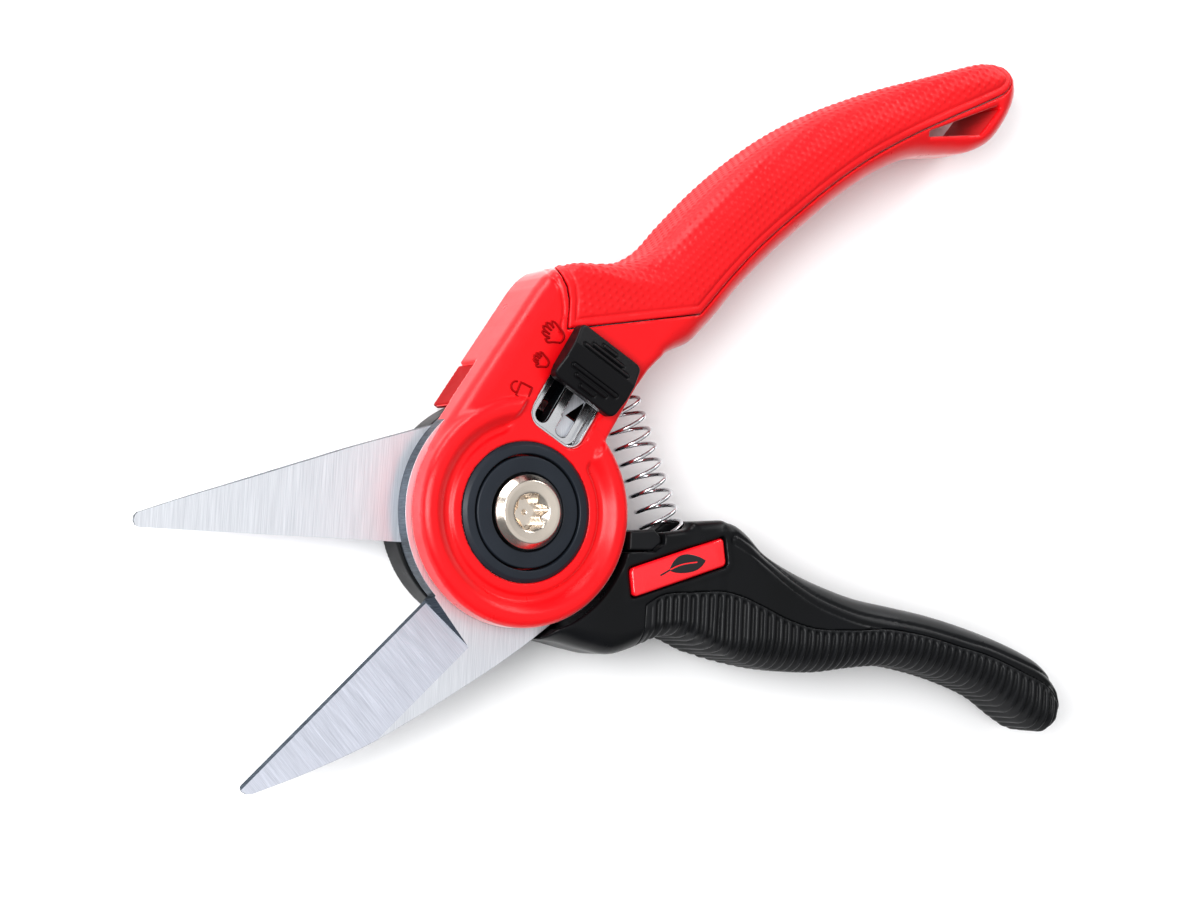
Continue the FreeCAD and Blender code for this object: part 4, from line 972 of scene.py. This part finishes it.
def make_pivot():
    lathe(
        "pivot_ring",
        rounded(
            [
                (10.25, RING_LOW),
                (12.4, RING_LOW),
                (12.4, 17.0, 0.25),
                (11.7, 17.55, 0.5),
                (10.25, RING_CREST, 0.3),
            ],
            0.1,
        ),
        "red_side",
        "dark_steel",
        ["front_ring"],
    )
    lathe(
        "pivot_washer",
        rounded(
            [
                (4.05, WASHER_LOW),
                (9.85, WASHER_LOW),
                (9.85, WASHER_FACE, 0.35),
                (7.0, WASHER_FACE, 0.25),
                (7.0, 15.2, 0.1),
                (4.05, 15.2, 0.1),
            ],
            0.1,
        ),
        "red_side",
        "dark_steel",
        ["front_washer"],
    )
    across = steps((-7.25, 7.25, 0.10))  # no sample lies on the bolt's axis
    block = Block(across, across, steps((0.7, 14.8, 0.4), (14.8, 19.9, 0.09)))
    profile = rounded(
        [
            (0.0, 1.0), (4.0, 1.0), (4.0, 15.2), (6.6, 15.2),
            (6.6, 18.1, 0.3),
            (5.45, BOLT_TOP - 0.05, 0.25),
            (4.9, BOLT_TOP, 0.3),
            (3.6, BOLT_TOP - 0.18, 0.6),
            (0.0, BOLT_TOP - 0.18),
        ],
        0.05,
    )
    field = revolve(block, [tuple(p) for p in profile])
    angle = np.arctan2(block.y, block.x) + math.radians(12)
    radius = np.hypot(block.x, block.y)
    lobes = (radius - 2.75 - 0.5 * np.cos(6 * angle)) * 0.8
    field = carve(field, np.maximum(lobes, BOLT_TOP - 3.2 - block.z), 0.35)
    field = carve(field, (radius - 3.7 - (block.z - BOLT_TOP)) * 0.7, 0.2)
    points, quads = skin(field, block)
    make_piece("bolt", points, quads, 0.0, "red_side", "nickel", ["pivot_bolt"])
    # hexagon nut with a washer face and chamfered corners
    block = Block(steps((-8.0, 8.0, 0.16)), steps((-8.0, 8.0, 0.16)), steps((-0.5, 4.4, 0.14)))
    radius = np.hypot(block.x, block.y)
    flats = [turned(block.x, block.y, 60.0 * k + 30.0)[0] for k in range(3)]
    hexagon = np.maximum.reduce([np.abs(f) for f in flats]) - 7.5 * math.cos(math.radians(30))
    field = both(hexagon, slab(block.z, 0.0, 3.8), 0.25)
    field = np.maximum(field, (radius - 7.35 + (0.6 - block.z) * 1.2) * 0.65)
    field = carve(field, np.maximum(radius - 4.0, 1.0 - block.z))
    dimple = np.maximum(radius - 3.3, block.z - 0.35)
    field = carve(field, dimple, 0.3)
    points, quads = skin(field, block)
    make_piece("nut", points, quads, 0.0, "red_side", "nickel", ["pivot_nut"])


def make_stop_pad():
    block = Block(steps((20.6, 28.6, 0.14)), steps((-6.4, -0.6, 0.14)), steps((4.4, 17.0, 0.14)))
    corners = [(21.3, -5.6), (26.0, -5.4), (27.8, -3.9), (27.6, -2.9), (26.2, -1.6), (21.3, -2.2)]
    field = extrude(flat_outline(block, corners), block.z, PAD_LOW, PAD_TOP + 2.4, 0.5)
    points, quads = skin(field, block)
    make_piece("stop_rubber", points, quads, BLACK_TURN, "black_side", "black_rubber", ["stop_pad"])


# ---------------------------------------------------------------- blades


def prism_mesh(points, low, high):
    """A closed mesh between two levels over an outline that runs anticlockwise."""
    mesh = bmesh.new()
    bottom = [mesh.verts.new((x, y, low)) for x, y in points]
    top = [mesh.verts.new((x, y, high)) for x, y in points]
    mesh.faces.new(bottom[::-1])
    mesh.faces.new(top)
    count = len(points)
    for i in range(count):
        j = (i + 1) % count
        mesh.faces.new((bottom[i], bottom[j], top[j], top[i]))
    return mesh


def to_object(mesh, name):
    data = bpy.data.meshes.new(name)
    mesh.to_mesh(data)
    mesh.free()
    thing = bpy.data.objects.new(name, data)
    SCENE.collection.objects.link(thing)
    return thing


def wedge(edge_y, level, tilt, end, lean):
    """A cutter under a tilted plane through the cutting edge, ending at the plunge."""
    mesh = bmesh.new()
    bmesh.ops.create_cube(mesh, size=1.0)
    for vert in mesh.verts:
        across = 30.0 * (vert.co.y + 0.5)
        above = CUTTER_HEIGHT * (vert.co.z + 0.5)
        right = vert.co.x > 0
        x = (end + lean * above / CUTTER_HEIGHT) if right else -95.0
        vert.co = Vector((x, -across, above))
    turn = Matrix.Rotation(math.radians(tilt), 4, "X")
    place = Matrix.Translation((0, edge_y, level)) @ turn
    bmesh.ops.transform(mesh, matrix=place, verts=mesh.verts)
    bmesh.ops.recalc_face_normals(mesh, faces=mesh.faces)
    return to_object(mesh, "cutter")


def arc_points(radius, start, end, count=24):
    return [
        (radius * math.cos(math.radians(a)), radius * math.sin(math.radians(a)))
        for a in np.linspace(start, end, count)
    ]


def cut_away(piece, cutters):
    for cutter in cutters:
        modifier = piece.modifiers.new("cut", "BOOLEAN")
        modifier.operation = "DIFFERENCE"
        modifier.solver = "EXACT"
        modifier.object = cutter
    graph = bpy.context.evaluated_depsgraph_get()
    mesh = bpy.data.meshes.new_from_object(piece.evaluated_get(graph))
    piece.modifiers.clear()
    piece.data = mesh
    for cutter in cutters:
        bpy.data.objects.remove(cutter)


def finish_blade(piece, node, turn, body, ground_sign):
    """Places a blade, paints its flats, its ground faces (own grain with painted shade) and its
    edges and facets (painted shade), and breaks its sharp edges.
    """
    mesh = piece.data
    mesh.transform(Matrix.Diagonal((MM, MM, MM, 1.0)))
    mesh.transform(Matrix.Rotation(math.radians(turn), 4, "Z"))
    mesh.materials.clear()
    for material in (MATERIALS["blade_steel"], BEVEL_STEEL_GRAIN_AND_SHADE, EDGE_STEEL_PAINTED_SHADE):
        mesh.materials.append(material)
    # Flats take the plain steel, ground faces the darker bevel steel (partly painted shade), and
    # all other faces the edge steel painted in shade.
    for face in mesh.polygons:
        tilt = abs(face.normal.z)
        ground = face.normal.z * ground_sign > 0
        if tilt > 0.997:
            face.material_index = 0
        elif 0.9 < tilt and ground:
            face.material_index = 1
        else:
            face.material_index = 2
    bevel = piece.modifiers.new("broken_edges", "BEVEL")
    bevel.width = BROKEN_EDGE * MM
    bevel.segments = 2
    bevel.limit_method = "ANGLE"
    bevel.angle_limit = math.radians(25)
    bevel.harden_normals = True
    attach(piece, body)
    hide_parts(node)


def make_blades():
    spine = [
        (-68.0, -2.9), (-60.0, -6.3), (-50.0, -10.0), (-40.0, -12.9), (-30.0, -15.3),
        (-20.0, -17.5), (-10.0, -19.1), (0.0, -20.0),
    ]
    edge = -0.4
    points = [(-68.4, edge), (-68.95, -0.75), (-69.15, -1.4), (-68.9, -2.2)]
    points += through(spine, 2.5).tolist()
    points += arc_points(HEAD_RADIUS, -86.0, 18.0)
    points += [(25.5, 5.0), (31.0, 8.3), (62.0, 5.6), (62.0, 10.8), (38.0, 18.6), (18.0, 20.2)]
    points += arc_points(FRONT_HEAD_RADIUS, 62.0, 181.0, 48)
    front = to_object(prism_mesh(points, FRONT_BLADE_LOW, FRONT_BLADE_HIGH), "front_blade_ground")
    edge_level = FRONT_BLADE_LOW + 0.25
    cutters = [wedge(edge, edge_level, -15.3, -22.6, 4.2)]
    cutters.append(wedge(edge, edge_level - 0.33, -38.0, -22.4, 0.0))
    track = []
    for s0, a0, a1 in ((14.8, -90, 90), (3.3, 90, 270)):
        for x, y in arc_points(1.4, a0, a1, 12):
            track.append((s0 + x, 2.3 + y))
    track = slot_points(np.array([(x, y, 0.0) for x, y in track]))[:, :2].tolist()
    cutters.append(to_object(prism_mesh(track, 5.0, 16.0), "cutter"))
    cut_away(front, cutters)
    finish_blade(front, "front_blade", RED_TURN, "red_side", 1)

    spine = [
        (-68.6, -3.7), (-60.0, -0.6), (-50.0, 2.8), (-40.0, 6.3), (-30.0, 9.8), (-20.0, 13.0),
        (-13.0, 15.2),
    ]  # the last point is the head's first, so it is left out below
    edge = -6.2
    points = arc_points(HEAD_RADIUS, 130.5, 96.0, 12) + arc_points(16.0, 96.0, 12.0, 24)
    points += arc_points(HEAD_RADIUS, 12.0, -24.0, 10)
    points += [(28.0, -10.6), (61.0, -14.2), (61.0, -20.2), (28.0, -17.2)]
    points += arc_points(HEAD_RADIUS, -64.0, -161.9, 24)
    points += [(-68.3, edge), (-69.0, -5.9), (-69.3, -5.1), (-69.1, -4.3)]
    points += through(spine, 2.5)[:-1].tolist()
    rear = to_object(prism_mesh(points[::-1], REAR_BLADE_LOW, REAR_BLADE_HIGH), "rear_blade_ground")
    mirror = Matrix.Diagonal((1, -1, -1, 1))
    cutters = []
    for level, tilt, end in ((0.25, -17.0, -22.6), (0.13, -38.0, -22.4)):
        cutter = wedge(0.0, 0.0, tilt, end, 4.2 if tilt > -20 else 0.0)
        cutter.data.transform(Matrix.Translation((0, edge, REAR_BLADE_HIGH - level)) @ mirror)
        cutters.append(cutter)
    cut_away(rear, cutters)
    finish_blade(rear, "rear_blade", BLACK_TURN, "black_side", -1)


# ---------------------------------------------------------------- spring


def make_spring():
    low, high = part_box("return_spring")
    wire = 0.36
    bottom, top = low.y / MM + wire, high.y / MM - wire
    turns = 11.75
    t = np.linspace(0, 1, 420)
    # the last turns at each end lie closer together
    pitch = 0.35 + 0.65 * ease(t / 0.1) * ease((1 - t) / 0.1)
    rise = np.cumsum(pitch)
    rise = (rise - rise[0]) / (rise[-1] - rise[0])
    angle = 2 * math.pi * turns * t + 0.6
    radius = 3.65
    path = np.stack(
        [
            SPRING_AXIS[0] + radius * np.cos(angle),
            bottom + (top - bottom) * rise,
            SPRING_AXIS[1] - radius * np.sin(angle),
        ],
        1,
    )
    points, faces = tube(path, wire, 14)
    coil = make_piece("spring_coil", points, faces, 0.0, None, "spring_steel", ["return_spring"])
    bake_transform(coil)


# ---------------------------------------------------------------- raised marks on the red head


def make_marks():
    hand = [
        (-0.7, -1.7), (-1.25, -0.7), (-1.85, 0.25), (-1.65, 0.7), (-1.1, 0.2), (-1.2, 1.3),
        (-0.95, 1.8), (-0.68, 1.35), (-0.6, 0.5), (-0.5, 1.65), (-0.22, 2.15), (0.05, 1.7),
        (0.05, 0.5), (0.25, 1.5), (0.52, 1.95), (0.78, 1.45), (0.62, 0.4), (0.95, 1.05),
        (1.25, 1.3), (1.42, 0.9), (1.2, -0.2), (0.95, -1.1), (0.55, -1.7), (-0.1, -1.85),
    ]
    lock_body = [(-1.5, 0.6), (1.2, 0.6), (1.2, -1.9), (-1.5, -1.9), (-1.5, 0.6)]
    shackle = [(-0.9, 0.6), (-0.95, 1.4), (-0.6, 2.0), (0.1, 2.2), (0.75, 1.9), (1.0, 1.3)]
    marks = (
        ("mark_large_hand", [hand + hand[:1]], (25.3, 19.8), 15.0, 1.15),
        ("mark_small_hand", [hand + hand[:1]], (20.2, 17.8), 15.0, 0.80),
        ("mark_padlock", [lock_body, shackle], (13.7, 16.6), 24.0, 0.95),
    )
    for name, lines, (x, y), turn, scale in marks:
        all_points, all_faces = [], []
        for stroke in lines:
            bend = through(stroke, 0.25) if len(stroke) > 5 else np.concatenate(
                [np.linspace(a, b, 8) for a, b in zip(stroke, stroke[1:])]
            )
            keep = [bend[0]] + [q for p, q in zip(bend, bend[1:]) if np.hypot(*(q - p)) > 1e-3]
            flat = np.array(keep) * scale
            u, w = turned(flat[:, 0], flat[:, 1], turn)
            path = np.stack([u + x, w + y, np.full(len(u), FACE + 0.02)], 1)
            points, faces = tube(path, 0.20, 8)
            shift = sum(len(p) for p in all_points)
            all_points.append(points)
            all_faces += [[i + shift for i in face] for face in faces]
        points = np.concatenate(all_points)
        # The marks are moulded in the red plastic; their dark red is painted shade along the raised
        # lines.
        make_piece(
            name, points, all_faces, RED_TURN, "red_side", "red_plastic", materials=[RED_PAINTED_SHADE]
        )


def paint_frame():
    """Materials for the CAD nodes that stay as they are."""
    slots = {entry["node"]: entry["material_slot"] for entry in frame["record"]["subparts"]}
    for name, thing in frame["nodes"].items():
        if thing.hide_render:
            continue
        thing.data.materials.clear()
        thing.data.materials.append(MATERIALS[slots[name]])


make_camera()
make_studio()
make_red_half()
make_black_half()
make_badge()
make_lock()
make_pivot()
make_stop_pad()
make_blades()
make_spring()
make_marks()
paint_frame()
